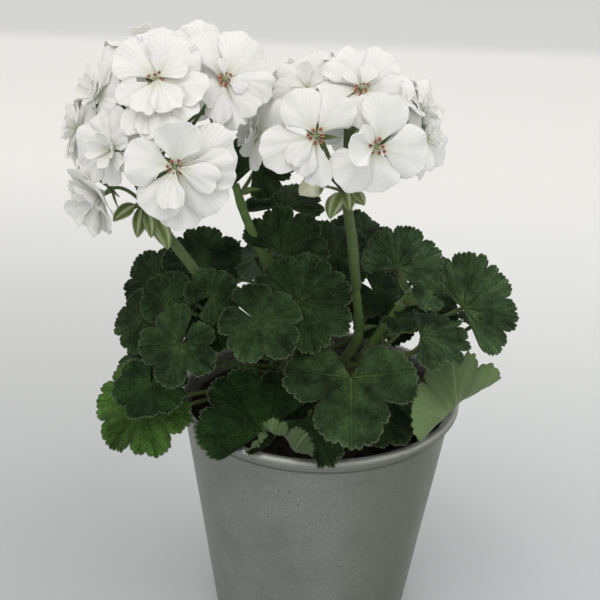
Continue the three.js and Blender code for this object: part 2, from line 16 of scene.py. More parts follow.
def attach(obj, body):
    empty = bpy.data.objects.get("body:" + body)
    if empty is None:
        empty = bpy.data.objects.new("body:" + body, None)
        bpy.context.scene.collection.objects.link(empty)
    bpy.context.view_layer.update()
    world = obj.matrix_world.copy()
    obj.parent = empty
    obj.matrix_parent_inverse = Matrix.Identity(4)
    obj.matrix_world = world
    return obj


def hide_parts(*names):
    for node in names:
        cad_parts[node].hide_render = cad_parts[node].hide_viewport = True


MM = 0.001

# Pot
POT_HEIGHT = 112
POT_BASE_RADIUS = 45
POT_TOP_RADIUS = 61.5
POT_WALL = 1.2
BEAD_RADIUS = 2.3
# Height of a thin dark line of painted shade below the bead
BEAD_SHADE_LINE = 104.7
POT_SEGMENTS = 192
POT_ROWS = 72
BEAD_STEPS = 18
POT_UNEVENNESS = 0.22
# Dents near the rim: angle and height, half width, half height, depth
POT_DENTS = (
    (290, 97, 9, 1.3, 0.6), (277, 94, 8, 1.2, 0.5), (243, 90, 1.6, 6, 0.6), (250, 95.5, 6, 1.2, 0.5)
)

# Soil
SOIL_TOP = POT_HEIGHT - 12
SOIL_BOTTOM = 2
SOIL_RADIUS = 58
SOIL_BASE_RADIUS = 44
SOIL_RINGS = 34
SOIL_SEGMENTS = 96
CRUMBS = 420

# Leaves
USUAL_LEAF = dict(lobes=5, teeth=3, spread=163, cut=0.15, cup=-0.12, lean=0, turn=0, tone="mature")
LEAF_THICKNESS = 0.5
TOOTH_CUT = 0.052
SMALL_TOOTH_CUT = 0.034
BASE_TAPER = 0.14
LEAF_PLEAT = 0.04
LEAF_RIB = 0.032
LEAF_RUFFLE = 0.06
LEAF_WAVE = 0.07
# Side veins of a lobe: where on the main vein they start, and how far to the side they end
SIDE_VEINS = ((0.2, 0.36), (0.45, 0.18))
LEAF_COLUMNS_PER_TOOTH = 12
LEAF_ROWS = (0.07, 0.15, 0.24, 0.34, 0.44, 0.54, 0.64, 0.73, 0.81, 0.88, 0.94, 0.98, 1)
PETIOLE_RADIUS = 1.0
PETIOLE_SEAT = 2

# Flowers
OUTER_PETALS = 5
CENTRE_PETALS = 4
# Petals without a row of their own: the angle from one to the next, and the ranges of their length as a
# share of the floret's, half spread, rise and curl
OUTER_PETAL = (72, (0.93, 1.04), (44, 52), (0.02, 0.14), (0.02, 0.12))
INNER_PETAL = (105, (0.62, 0.8), (36, 46), (0.26, 0.4), (-0.08, 0.18))
# How far a petal's foot climbs above the floret's seat: the first, each next one, and the most
FIRST_CLIMB = 0.4
CLIMB_STEP = 0.4
MOST_CLIMB = 4
PETAL_THICKNESS = 0.36
PETAL_TILT = 0.045
PETAL_COLUMNS = 23
PETAL_ROWS = (0.1, 0.18, 0.27, 0.37, 0.47, 0.57, 0.67, 0.76, 0.84, 0.9, 0.95, 0.98, 1)
STAMENS = 7
STIGMAS = 5
PISTIL_HEIGHT = 4.2
SEPALS = 5
SEPAL_THICKNESS = 0.3
BRACTS = 6
PEDUNCLE_RADIUS = 2.1
PEDICEL_RADIUS = 0.75
CUP_RADIUS = 1.7
BUD_SIDES = 40

# Hairs
HAIR_RADIUS = 0.035
MARGIN_HAIR_RADIUS = 0.03
MARGIN_HAIRS = 260
PETIOLE_HAIRS = 240
STEM_HAIRS = 500
PEDUNCLE_HAIRS = 1300
PEDICEL_HAIRS = 150
BUD_HAIRS = 420
SHORT_HAIRS = (0.45, 0.9)
LONG_HAIRS = (0.65, 1.3)

# Places of the materials in each kind of piece
LEAF_TOP, LEAF_UNDER, PETIOLE, LEAF_HAIR = range(4)
PETAL, FILAMENT, ANTHER, PISTIL = range(4)
STALK, SEPAL, HAIR, BUD = range(4)
WOOD = STALK

# Branches of the woody stem: points along the middle, and the radius at the start and the end
BRANCHES = {
    "main": ([(-2, 0, 84), (-2, 0, 102), (-1, 1, 120)], (4.8, 3.8)),
    "left": ([(-2, 0, 106), (-14, -6, 126), (-26, -12, 142), (-32, -14, 152)], (3.2, 2.6)),
    "middle": (
        [(-1, 1, 116), (-7, 3, 142), (-17, 0, 165), (-27, -5, 183), (-35, -4, 200), (-39, -2, 212)],
        (3.2, 1.8),
    ),
    "right": ([(-1, 1, 114), (10, -2, 127), (17, -5, 142), (15, -9, 168)], (2.8, 1.8)),
    "far_right": ([(-2, 0, 106), (14, 0, 120), (26, -5, 143), (33, -9, 157), (39, -10, 167)], (3.2, 2)),
    "back": ([(-1, 1, 110), (2, 13, 126), (4, 25, 145), (2, 32, 162)], (3, 2.2)),
}

# Colours of small parts
STEM_BROWN = np.array((0.16, 0.10, 0.055))
STEM_GREEN = np.array((0.10, 0.175, 0.04))
BUD_GREEN = np.array((0.12, 0.19, 0.035))
BUD_CREAM = np.array((0.86, 0.85, 0.62))
ANTHER_PEACH = (0.50, 0.25, 0.155)
# The slit between an anther's two lobes: its own darker colour and painted shade
ANTHER_SLIT_COLOUR_AND_SHADE = (0.09, 0.025, 0.016)

# Leaf colours. "shaded" is a darker copy of the green for leaves that lie in shade, painted shade, and
# "pale" a paler copy for a leaf that the lamps leave darker, painted light
TONES = {
    "mature": (0.025, 0.051, 0.017),
    "deep": (0.015, 0.041, 0.010),
    "dusty": (0.038, 0.072, 0.028),
    "pale": (0.050, 0.092, 0.039),
    "young": (0.050, 0.110, 0.020),
    "shaded": (0.020, 0.042, 0.014),
}

# Leaves: where the petiole joins the blade, the radius, where the upper face looks, the turn of the middle
# lobe away from straight down the slope, and where on which branch the leaf grows. A row also gives what
# differs from the usual leaf: the lobes and their teeth, half the spread of the blade, the cut between
# lobes, how far the margin cups up, how the radius leans to one side, the tone, and a fold.
LEAVES = {
    "front_1": dict(
        at=(13, -56, 148), size=31, lobes=3, teeth=5, cut=0.42, spread=155, face=(2, 60),
        root=("right", 0.3),
    ),
    "front_2": dict(
        at=(-27, -50, 170), size=20, spread=178, cut=0.22, lean=0.12, face=(0, 54), turn=50,
        root=("left", 0.62),
    ),
    "front_3": dict(at=(-10, -32, 171), size=25, lobes=7, face=(6, 46), turn=110, root=("middle", 0.18)),
    "front_4": dict(
        at=(-5, -51, 125), size=24, spread=112, face=(14, 66), turn=20, root=("main", 0.72), tone="shaded",
        fold=dict(towards=-66, start=12, radius=2.5, limit=150),
    ),
    "front_5": dict(
        at=(29, -43, 121), size=14, face=(14, 70), turn=30, root=("right", 0.12), tone="shaded"
    ),
    "front_6": dict(at=(-12, -33, 126), size=12, face=(0, 50), turn=20, root=("main", 0.88), tone="shaded"),
    "left_11": dict(
        at=(-20, -58, 116), size=12, spread=75, cup=0.1, face=(0, 42), turn=-130, root=("left", 0.02),
        tone="shaded", fold=dict(towards=0, start=4, radius=2, limit=150),
    ),
    "left_1": dict(
        at=(-23, -51, 118), size=31, lobes=3, teeth=4, spread=93, cup=0.2, face=(-12, 50), turn=-136,
        root=("left", 0.12), tone="deep",
    ),
    "left_2": dict(
        at=(-58, -50, 158), size=19, spread=176, cut=0.3, lean=-0.2, face=(-16, 42), turn=-8,
        root=("left", 0.75),
    ),
    "left_3": dict(at=(-72, -44, 136), size=18, face=(-16, 60), root=("left", 0.3), tone="deep"),
    "left_4": dict(
        at=(-75, -41, 125), size=25, spread=138, face=(-24, 44), turn=-25, root=("left", 0.2), tone="young"
    ),
    "left_5": dict(at=(-65, -31, 169), size=14, face=(-15, 32), turn=-125, root=("left", 0.66)),
    "left_6": dict(at=(-47, -37, 175), size=13, face=(8, 36), turn=130, root=("middle", 0.3)),
    "left_7": dict(at=(-77, -14, 152), size=17, face=(-32, 42), turn=-70, root=("left", 0.5)),
    "left_8": dict(at=(-72, 2, 163), size=19, face=(-28, 40), turn=-115, root=("left", 0.7), tone="shaded"),
    "left_9": dict(at=(-75, -20, 134), size=16, face=(-28, 45), turn=-60, root=("left", 0.4)),
    "left_10": dict(at=(-46, -31, 157), size=11, face=(-5, 45), turn=20, root=("left", 0.48), tone="deep"),
    # right_1 has the pale tone: painted light
    "right_1": dict(
        at=(32, -15, 181), size=21, spread=120, lean=-0.2, face=(6, 36), turn=160, root=("far_right", 1),
        tone="pale",
    ),
    "right_2": dict(
        at=(62, -15, 163), size=28, spread=106, face=(16, 38), turn=120, root=("far_right", 0.6),
        tone="dusty",
    ),
    "right_3": dict(
        at=(43, -27, 155), size=23, spread=100, face=(12, 76), turn=80, root=("far_right", 0.4),
        tone="dusty",
    ),
    "right_4": dict(
        at=(55, -31, 120), size=32, face=(-46, 69), turn=180, root=("far_right", 0.08), tone="dusty",
        fold=dict(towards=-90, start=0, radius=5, limit=120),
    ),
    "right_5": dict(
        at=(46, -30, 176), size=8.5, face=(16, 50), turn=-110, root=("far_right", 0.93), tone="dusty"
    ),
    "right_6": dict(at=(34, -21, 159), size=9, face=(10, 80), turn=30, root=("far_right", 0.5)),
    "right_7": dict(
        at=(51, 3, 153), size=12, face=(10, 50), turn=60, root=("far_right", 0.64), tone="shaded"
    ),
    "top_1": dict(at=(-18, -12, 185), size=22, spread=118, face=(4, 34), turn=138, root=("middle", 0.5)),
    "top_2": dict(at=(-18, 7, 199), size=20, spread=112, face=(0, 72), turn=175, root=("middle", 0.66)),
    "top_3": dict(at=(-31, 6, 218), size=18, face=(-8, 44), turn=160, root=("middle", 0.95)),
    "top_4": dict(
        at=(-53, -8, 176), size=20, face=(-12, 44), turn=-170, root=("middle", 0.44), tone="shaded"
    ),
    "top_5": dict(at=(5, 6, 178), size=19, face=(20, 50), turn=60, root=("middle", 0.36), tone="shaded"),
    "top_6": dict(at=(23, 3, 162), size=14, face=(20, 48), turn=30, root=("right", 0.6), tone="shaded"),
    "top_7": dict(at=(17, 22, 179), size=17, face=(20, 60), turn=150, root=("back", 0.95), tone="shaded"),
    "back_1": dict(at=(-58, 26, 162), size=26, face=(-120, 50), root=("middle", 0.28)),
    "back_2": dict(at=(-30, 50, 156), size=27, face=(-160, 48), turn=10, root=("back", 0.55)),
    "back_3": dict(at=(15, 58, 158), size=27, face=(172, 48), turn=-10, root=("back", 0.8)),
    "back_4": dict(at=(44, 44, 152), size=27, face=(135, 46), root=("back", 0.45)),
    "back_5": dict(at=(71, 12, 145), size=20, face=(100, 42), turn=10, root=("far_right", 0.28)),
    "back_6": dict(at=(-14, 34, 176), size=21, face=(180, 66), root=("back", 0.9)),
    "back_7": dict(at=(-76, 12, 135), size=25, face=(-95, 38), root=("left", 0.18)),
    "back_8": dict(at=(29, 11, 151), size=20, face=(10, 50), turn=30, root=("back", 0.3), tone="shaded"),
    "back_9": dict(at=(-50, 5, 147), size=15, face=(-8, 42), turn=-30, root=("left", 0.36), tone="shaded"),
}

# Florets: the centre and where they look. Their petals are given from the back to the front, each as (angle
# from straight down the slope, length, half its spread, rise, curl back at the tip, crease). Florets without
# rows of petals have their length, the number of inner petals and the turn instead. A full floret also has
# small crumpled petals at its centre, which follow its size and turn.
LEFT_FLORETS = [
    dict(at=(-60, -58, 240), face=(0, 18), petals=[
        (9, 25, 36, -0.06, 0.02, 1.2), (113, 25, 44, -0.02, 0.06, 0.6), (88, 24, 31, 0.06, -0.04, 2.2),
        (49, 24, 42, 0.04, 0.08, 0.6), (-24, 21.5, 38, 0.1, 0.08, 0.8), (171, 18, 50, 0.26, -0.14, 0.4),
        (-99, 20, 46, 0.16, 0.14, 0.3), (73, 18.5, 30, 0.3, 0.16, 0.8), (-5, 16.5, 32, 0.34, 0.1, 2.4),
    ]),
    dict(at=(-69, -36, 266), face=(-4, 48), petals=[
        (-173, 26, 34, -0.06, 0, 1.2), (-144, 23, 56, 0.02, 0.04, 1.4), (156, 22, 56, 0.07, 0.05, 1.2),
        (-58, 17.5, 34, 0.04, 0.08, 1), (-12, 26, 32, 0, 0.05, 1.6), (72, 22, 34, 0.12, -0.05, 0.8),
        (10, 27, 36, 0.06, 0.04, 1.2), (38, 24, 36, 0.1, 0.05, 1.4), (-10, 19, 30, 0.26, 0.02, 1.6),
        (114, 13.5, 36, 0.3, -0.06, 1), (28, 20, 28, 0.36, 0.1, 1.4),
    ]),
    dict(at=(-44, -31, 266), face=(28, 42), petals=[
        (-176, 22, 38, 0.02, 0.04, 1), (132, 24.5, 44, 0.06, 0.06, 0.8), (78, 22, 32, 0.02, 0.08, 1.4),
        (8, 20, 22, -0.1, 0.1, 1.2), (37, 18.5, 34, 0.06, 0.1, 1.8), (-50, 14, 26, 0, 0.1, 1),
        (-22, 18.5, 24, -0.05, 0.1, 1), (54, 9.5, 36, 0.3, 0.16, 1.6), (178, 8, 26, 0.34, 0, 1.2),
    ]),
    dict(at=(-92, -22, 254), face=(-52, 34), size=19, turn=30, full=True, petals=[
        (-160, 24.5, 42, 0, 0.04, 1), (-128, 23.5, 40, 0.02, 0.06, 1.2), (-102, 14.5, 40, 0.02, 0.06, 0.8),
        (24, 6, 30, 0, 0.1, 1), (129, 18, 42, 0.26, 0.04, 1), (93, 18.5, 34, 0.22, 0.06, 1.2),
        (172, 14, 38, 0.34, 0.02, 1.4), (125, 9, 40, 0.8, 0.04, 1.2), (111, 3, 46, 1, 0.1, 1.2),
    ]),
    dict(at=(-100, -14, 238), face=(-78, 12), size=18, inner=4, turn=0, full=True),
    dict(at=(-84, -44, 241), face=(-34, 12), size=20, turn=15, full=True, petals=[
        (-140, 17.5, 38, 0, 0.05, 1.4), (168, 18.5, 42, 0.02, 0.04, 1.6), (124, 20, 36, 0.04, 0.06, 1.4),
        (-87, 20, 42, 0.02, 0.06, 1.8), (-50, 19, 38, 0.02, 0.06, 1.8), (-3, 14.5, 42, 0.04, 0.06, 1.6),
        (69, 15.5, 36, 0.06, 0.06, 1.4), (-148, 9, 36, 0.28, 0.02, 2), (134, 13, 32, 0.3, 0.04, 2),
        (-54, 7, 34, 0.3, 0.04, 2.2), (67, 10.5, 32, 0.32, 0.04, 2),
    ]),
    dict(at=(-90, -33, 219), face=(-50, -22), size=17, turn=40, full=True, petals=[
        (-164, 16.5, 54, 0.45, 0.05, 1.6), (-92, 15, 54, 0.5, 0, 2), (124, 16.5, 54, 0.42, 0.05, 1.8),
        (52, 15.5, 54, 0.5, 0, 1.6), (-20, 14.5, 54, 0.55, -0.05, 2), (150, 12.5, 46, 0.75, -0.1, 2),
        (20, 12, 46, 0.85, -0.1, 2.2), (-60, 12, 44, 0.85, -0.1, 2),
    ]),
    dict(at=(-53, -14, 269), face=(44, 62), petals=[
        (-181, 20.5, 40, 0, 0.05, 1.4), (140, 24.5, 40, 0, 0.06, 1.4), (98, 19.5, 42, 0.02, 0.06, 1.2),
        (4, 16.5, 38, 0.04, 0.06, 1), (-44, 28, 42, 0.06, 0.04, 1.2), (-86, 19.5, 42, 0.06, 0.04, 1.2),
        (174, 7, 34, 0.3, 0.06, 1.8), (-15, 7, 34, 0.32, 0.04, 1.8),
    ]),
    dict(at=(-74, 2, 267), face=(170, 66), size=21, inner=3, turn=5),
    dict(at=(-94, 6, 252), face=(-120, 36), size=19, inner=1, turn=35),
    dict(at=(-64, 14, 247), face=(168, 24), size=21, inner=2, turn=12),
    dict(at=(-50, -2, 245), face=(100, 12), size=17, inner=2, turn=50),
    dict(at=(-84, 10, 234), face=(-150, 4), size=19, inner=1, turn=22),
]
RIGHT_FLORETS = [
    dict(at=(-5, -48, 251), face=(-6, 22), petals=[
        (-66, 23.5, 38, 0, 0.02, 1), (7, 20, 26, 0.04, 0.06, 0.8), (146, 19.5, 38, 0.06, 0.06, 0.4),
        (-148, 20, 44, 0.14, 0.12, 0.4), (-20, 16.5, 28, 0.16, 0.1, 1.4), (-40, 15, 30, 0.26, 0.14, 1),
    ]),
    dict(at=(18, -46, 247), face=(12, 18), petals=[
        (-161, 21, 28, 0, 0.04, 0.8), (-48, 21.5, 42, 0.04, 0.05, 0.6), (4, 18, 50, 0, 0.06, 0.5),
        (79, 21.5, 48, 0.06, 0.08, 0.5), (163, 21.5, 44, 0.2, 0.16, 0.3), (-84, 13.5, 46, 0.38, -0.26, 1.4),
        (-138, 10.5, 30, 0.34, 0.02, 1.4),
    ]),
    dict(at=(12, -27, 262), face=(6, 56), petals=[
        (104, 22, 34, 0, 0.05, 0.8), (150, 23, 40, 0.06, 0.04, 0.8), (-176, 22, 36, 0.04, 0.03, 0.8),
        (-140, 19, 32, 0.08, 0.06, 1.2), (-88, 18, 36, 0, 0.05, 0.6), (-27, 18, 40, 0, 0.05, 0.6),
        (41, 14, 40, 0.02, 0.05, 0.6), (153, 10.5, 32, 0.28, 0, 1.4), (-134, 9.5, 28, 0.28, 0.02, 1.8),
    ]),
    dict(at=(-9, -17, 258), face=(-10, 54), size=20, turn=20, full=True, petals=[
        (-146, 18.5, 40, 0, 0.04, 0.8), (172, 19.5, 42, 0.04, 0.03, 0.8), (120, 17.5, 34, 0.04, 0.05, 1),
        (-87, 15, 40, 0.02, 0.06, 1.4), (-16, 17, 36, 0, 0.06, 0.8), (42, 17, 36, 0, 0.06, 0.8),
        (-151, 6.5, 34, 0.28, 0.04, 1.4), (105, 7, 34, 0.3, 0.04, 1.4),
    ]),
    dict(at=(-26, -23, 242), face=(-62, 18), size=17, turn=10, full=True, petals=[
        (-141, 18, 38, 0, 0.05, 1.8), (-96, 20, 36, 0.02, 0.06, 2), (-55, 16.5, 34, 0, 0.06, 1.4),
        (3, 15, 36, 0, 0.06, 0.8), (131, 21, 38, 0.06, 0.04, 1.4), (80, 19.5, 36, 0.04, 0.05, 1.2),
        (-179, 9, 38, 0.5, 0.04, 2.6), (105, 2, 46, 0.9, 0.1, 2.6), (135, 5, 44, 0.9, 0.1, 2.2),
    ]),
    dict(at=(36, -12, 249), face=(70, 34), size=18, turn=40, full=True, petals=[
        (153, 19.5, 34, 0, 0.05, 0.8), (106, 23.5, 24, 0.02, 0.04, 1.4), (82, 22.5, 24, 0.02, 0.06, 1.2),
        (46, 8, 26, 0.04, 0.06, 1.2), (-128, 22, 36, 0.2, 0.04, 1), (-118, 14, 34, 0.28, 0.02, 1.4),
    ]),
    dict(at=(37, -17, 240), face=(62, 24), size=17, turn=15, full=True, petals=[
        (90, 21.5, 34, 0, 0.04, 0.8), (61, 20.5, 40, 0.02, 0.06, 0.8), (6, 14, 18, 0, 0.06, 0.6),
        (-56, 19, 34, 0.02, 0.06, 0.6), (-162, 15.5, 36, 0.1, 0.04, 0.8), (-106, 6, 34, 0.3, 0.04, 1.2),
        (-86, 25, 34, 0.28, 0.04, 1),
    ]),
    dict(at=(12, 0, 262), face=(120, 74), size=20, inner=3, turn=25),
    dict(at=(-16, 6, 250), face=(-130, 34), size=20, inner=2, turn=5),
    dict(at=(8, 20, 248), face=(176, 34), size=20, inner=2, turn=35),
    dict(at=(31, 10, 243), face=(130, 24), size=19, inner=1, turn=18),
    dict(at=(12, 13, 236), face=(165, 10), size=20, inner=1, turn=45),
]

# Flower heads: the peduncle's middle line up to the hub, the florets and the unopened buds (tip, where they
# point, length, radius)
HEADS = {
    "left": dict(
        peduncle=[(-30, -15, 147), (-42, -22, 163), (-53, -25, 179), (-63, -24, 192), (-77, -22, 210)],
        florets=LEFT_FLORETS,
        buds=[
            dict(tip=(-88, -32, 205), face=(-40, -50), length=12, radius=2.8),
            dict(tip=(-78, -34, 199), face=(-20, -66), length=15, radius=3),
            dict(tip=(-72, -36, 200), face=(-4, -68), length=12, radius=2.8),
            dict(tip=(-65, -36, 195), face=(24, -62), length=15, radius=3.6),
        ],
    ),
    "right": dict(
        peduncle=[(15, -9, 168), (14, -11, 177), (12, -12, 193), (8, -12, 214)],
        florets=RIGHT_FLORETS,
        buds=[
            dict(tip=(-11, -30, 219), face=(-40, -36), length=13, radius=4.5, opening=True),
            dict(tip=(2, -28, 208), face=(-8, -70), length=14, radius=3.7),
            dict(tip=(10, -26, 211), face=(14, -66), length=12, radius=3.3),
            dict(tip=(16, -24, 213), face=(40, -56), length=10, radius=2.8),
        ],
    ),
}

# Camera and lights
CAMERA_LENS = 96
CAMERA_TARGET = (-9.372, 0, 157.187)
CAMERA_DISTANCE = 714.54
CAMERA_ELEVATION = 25.015
CAMERA_ROLL = 2.04
LIGHT_TARGET = (0, 0, 0.15)


def new_object(name, data):
    """A new object in the scene."""
    thing = bpy.data.objects.new(name, data)
    bpy.context.scene.collection.objects.link(thing)
    return thing


def unit(vectors):
    """Vectors with length 1."""
    return vectors / np.linalg.norm(vectors, axis=-1, keepdims=True)


def direction(face):
    """Unit vector of a direction given as (azimuth, elevation)."""
    azimuth, elevation = np.radians(face)
    across = np.cos(elevation)
    return np.array([np.sin(azimuth) * across, -np.cos(azimuth) * across, np.sin(elevation)])


def down_slope(face):
    """Unit vector straight down the slope of a face that looks in the given direction."""
    return direction((face[0], face[1] - 90))


def turned(start, axis, degrees):
    """A vector at right angles to the axis, turned round it."""
    angle = math.radians(degrees)
    return start * math.cos(angle) + np.cross(axis, start) * math.sin(angle)


def whorl(start, axis, count, turn=0):
    """Vectors at equal angles round an axis."""
    return [turned(start, axis, turn + i * 360 / count) for i in range(count)]


def circle(count):
    """Angles of points round a circle."""
    return np.linspace(0, 2 * math.pi, count, endpoint=False)


def round_axis(radius, angles, height):
    """Points at a radius and a height, round the upright axis of the pot."""
    return np.stack(np.broadcast_arrays(radius * np.cos(angles), radius * np.sin(angles), height), axis=-1)


def curve_through(points, steps):
    """Points along a smooth line through the given points, at equal distances."""
    points = np.array(points, float)
    ends = [2 * points[0] - points[1], *points, 2 * points[-1] - points[-2]]
    share = np.linspace(0, 1, 40, endpoint=False)[:, None]
    fine = []
    for before, start, stop, after in zip(ends, ends[1:], ends[2:], ends[3:]):
        gaps = [np.linalg.norm(b - a) ** 0.5 for a, b in ((before, start), (start, stop), (stop, after))]
        leave = (start - before) / gaps[0] - (stop - before) / (gaps[0] + gaps[1]) + (stop - start) / gaps[1]
        arrive = (stop - start) / gaps[1] - (after - start) / (gaps[1] + gaps[2]) + (after - stop) / gaps[2]
        leave, arrive = leave * gaps[1], arrive * gaps[1]
        fine.append(
            start
            + leave * share
            + (3 * (stop - start) - 2 * leave - arrive) * share**2
            + (2 * (start - stop) + leave + arrive) * share**3
        )
    return evenly(np.concatenate([*fine, points[-1:]]), steps)


def evenly(points, steps):
    """Points at equal distances along a line of points."""
    lengths = np.concatenate([[0], np.cumsum(np.linalg.norm(np.diff(points, axis=0), axis=1))])
    wanted = np.linspace(0, lengths[-1], steps + 1)
    return np.stack([np.interp(wanted, lengths, points[:, axis]) for axis in range(3)], axis=1)


def bezier(controls, steps):
    """Points along a Bezier curve."""
    share = np.linspace(0, 1, steps + 1)[:, None]
    layers = [np.array(control, float) for control in controls]
    while len(layers) > 1:
        layers = [a * (1 - share) + b * share for a, b in zip(layers, layers[1:])]
    return layers[0]


def frames_along(line):
    """Two unit vectors at right angles to a line, at each of its points, without a twist."""
    along = unit(np.gradient(line, axis=0))
    first = [unit(np.cross(along[0], (0.3, 0.2, 1.0)))]
    for tangent in along[1:]:
        first.append(unit(first[-1] - tangent * np.dot(first[-1], tangent)))
    first = np.array(first)
    return first, np.cross(along, first)


class Shape:
    """Meshes gathered for one piece, with a place on a map and a tint for each point."""

    def __init__(self):
        self.points = []
        self.places = []
        self.tints = []
        self.faces = []
        self.slots = []
        self.count = 0

    def add(self, points, faces, slots=0, places=None, tint=(1, 1, 1)):
        """Adds points with lists of faces; the material's place is one number, or one for each list."""
        points = np.reshape(points, (-1, 3))
        self.points.append(points)
        self.places.append(np.zeros((len(points), 2)) if places is None else np.reshape(places, (-1, 2)))
        self.tints.append(np.broadcast_to(np.reshape(tint, (-1, 3)), points.shape))
        for part, slot in zip(faces, np.broadcast_to(slots, len(faces))):
            self.faces.append(np.asarray(part) + self.count)
            self.slots.append(np.full(len(part), slot))
        self.count += len(points)

    def make_piece(self, name, materials, node):
        """Makes this shape a Blender object, which rides on the plant and stands for a CAD node."""
        mesh = bpy.data.meshes.new(name)
        faces = [face for part in self.faces for face in part.tolist()]
        mesh.from_pydata(np.concatenate(self.points) * MM, [], faces)
        mesh.polygons.foreach_set("material_index", np.concatenate(self.slots))
        mesh.polygons.foreach_set("use_smooth", np.ones(len(faces), bool))
        corners = np.zeros(len(mesh.loops), np.int32)
        mesh.loops.foreach_get("vertex_index", corners)
        layer = mesh.uv_layers.new(name="map")
        layer.data.foreach_set("uv", np.concatenate(self.places)[corners].ravel())
        tints = np.concatenate(self.tints)
        colours = mesh.color_attributes.new("tint", "FLOAT_COLOR", "POINT")
        colours.data.foreach_set("color", np.column_stack([tints, np.ones(len(tints))]).ravel())
        for material in materials:
            mesh.materials.append(material)
        piece = new_object(name, mesh)
        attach(piece, "root")
        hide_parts(node)


def grid_faces(rows, columns, start=0, closed=False):
    """Four-sided faces between rows of points; a closed grid joins its last column to its first."""
    row = np.arange(rows - 1)[:, None] * columns
    column = np.arange(columns if closed else columns - 1)[None, :]
    beside = (column + 1) % columns
    quads = np.stack([row + column, row + columns + column, row + columns + beside, row + beside], axis=-1)
    return quads.reshape(-1, 4) + start


def cap_faces(middle, first, count, flip=False):
    """Three-sided faces from a ring of points to a middle point."""
    side = np.arange(count)
    beside = (side + 1) % count
    near, far = (beside, side) if flip else (side, beside)
    return np.stack([np.full(count, middle), first + near, first + far], axis=-1)


def add_blade(shape, upper, lower, rows, columns, slots, places=None, tint=(1, 1, 1)):
    """A closed thin blade, with a centre and rows of points outwards on its upper and lower faces."""
    count = len(upper)
    column = np.arange(columns - 1)
    inner = np.stack([np.zeros_like(column), 1 + column, 2 + column], axis=-1)
    outer = grid_faces(rows, columns, start=1)
    left = 1 + np.arange(rows) * columns
    rim = np.concatenate([[0], left, left[-1] + np.arange(1, columns), left[:-1][::-1] + columns - 1])
    following = np.roll(rim, -1)
    edge = np.stack([rim, rim + count, following + count, following], axis=-1)
    faces = [inner, outer, edge, inner[:, ::-1] + count, outer[:, ::-1] + count]
    top, under = slots
    places = None if places is None else np.tile(places, (2, 1))
    tints = np.tile(np.broadcast_to(tint, upper.shape), (2, 1))
    shape.add(np.concatenate([upper, lower]), faces, (top, top, top, under, under), places, tints)


def sheet_faces(surface, along, across, step, thickness):
    """Upper and lower points of a thin sheet round its middle surface, and its normals."""
    lengthwise = surface(along + step, across) - surface(along - step, across)
    sideways = surface(along, across + step) - surface(along, across - step)
    normals = unit(np.cross(lengthwise, sideways))
    middle = surface(along, across)
    half = thickness / 2
    return middle + normals * half, middle - normals * half, normals


def add_tube(shape, line, radii, sides, slot, tint=(1, 1, 1), ridge=1):
    """A closed tube along a line of points, where a ridge gives each side's share of the radius.

    Returns the points of its skin between the ends, and which way is out there.
    """
    first, second = frames_along(line)
    angles = circle(sides)
    radii = np.broadcast_to(radii, len(line))[:, None] * np.ones(sides) * ridge
    ring = np.cos(angles)[:, None] * first[:, None] + np.sin(angles)[:, None] * second[:, None]
    points = line[:, None] + ring * radii[..., None]
    count = len(line) * sides
    faces = [
        grid_faces(len(line), sides, closed=True)[:, ::-1],
        cap_faces(count, 0, sides, flip=True),
        cap_faces(count + 1, count - sides, sides),
    ]
    places = np.stack(np.meshgrid(np.arange(sides) / sides, np.linspace(0, 1, len(line))), axis=-1)
    places = np.concatenate([places.reshape(-1, 2), [[0.5, 0], [0.5, 1]]])
    tint = np.broadcast_to(tint, (len(line), 3))
    tints = np.concatenate([np.repeat(tint, sides, axis=0), tint[:1], tint[-1:]])
    shape.add(np.concatenate([points.reshape(-1, 3), line[:1], line[-1:]]), faces, slot, places, tints)
    return points[1:-1].reshape(-1, 3), ring[1:-1].reshape(-1, 3)


def add_hairs(shape, roots, ways, length, radius, slot):
    """Thin three-sided hairs from roots, each in its own direction."""
    ways = unit(ways)
    side = unit(np.cross(ways, (0.31, 0.52, 0.79)))[:, None]
    other = np.cross(ways, side[:, 0])[:, None]
    angles = circle(3)[None, :, None]
    corners = roots[:, None] + radius * (np.cos(angles) * side + np.sin(angles) * other)
    tips = roots + ways * np.reshape(length, (-1, 1))
    points = np.concatenate([corners, tips[:, None]], axis=1)
    first = np.arange(len(roots))[:, None, None] * 4
    faces = np.array([[0, 1, 3], [1, 2, 3], [2, 0, 3], [2, 1, 0]])[None] + first
    shape.add(points, [faces.reshape(-1, 3)], slot)


def add_fuzz(shape, skin, count, lengths, random, slot=HAIR, lean=0.3):
    """Hairs that stand out of the skin of a tube."""
    roots, outward = skin
    pick = random.integers(0, len(roots), count)
    ways = outward[pick] + random.normal(0, lean, (count, 3))
    add_hairs(shape, roots[pick], ways, random.uniform(*lengths, count), HAIR_RADIUS, slot)


def add_ball(shape, centre, axes, radii, rings, sides, slot, tint):
    """An egg shape round a centre, with three radii along three axes."""
    heights = np.linspace(0, math.pi, rings + 1)[1:-1]
    angles = circle(sides)
    around = np.stack([
        np.sin(heights)[:, None] * np.cos(angles)[None],
        np.sin(heights)[:, None] * np.sin(angles)[None],
        np.repeat(np.cos(heights)[:, None], sides, axis=1),
    ], axis=-1).reshape(-1, 3)
    around = np.concatenate([around, [[0, 0, 1], [0, 0, -1]]])
    points = np.asarray(centre) + (around * np.asarray(radii)) @ np.asarray(axes)
    count = (rings - 1) * sides
    faces = [
        grid_faces(rings - 1, sides, closed=True),
        cap_faces(count, 0, sides),
        cap_faces(count + 1, count - sides, sides, flip=True),
    ]
    shape.add(points, faces, slot, tint=tint)


# Leaves


def grown_leaf(place, leaf):
    """A leaf with the usual values where its row gives none, and with its own random numbers."""
    random = np.random.default_rng(100 + place)
    return {**USUAL_LEAF, **leaf, "random": random, "phase": random.uniform(0, 6.28)}


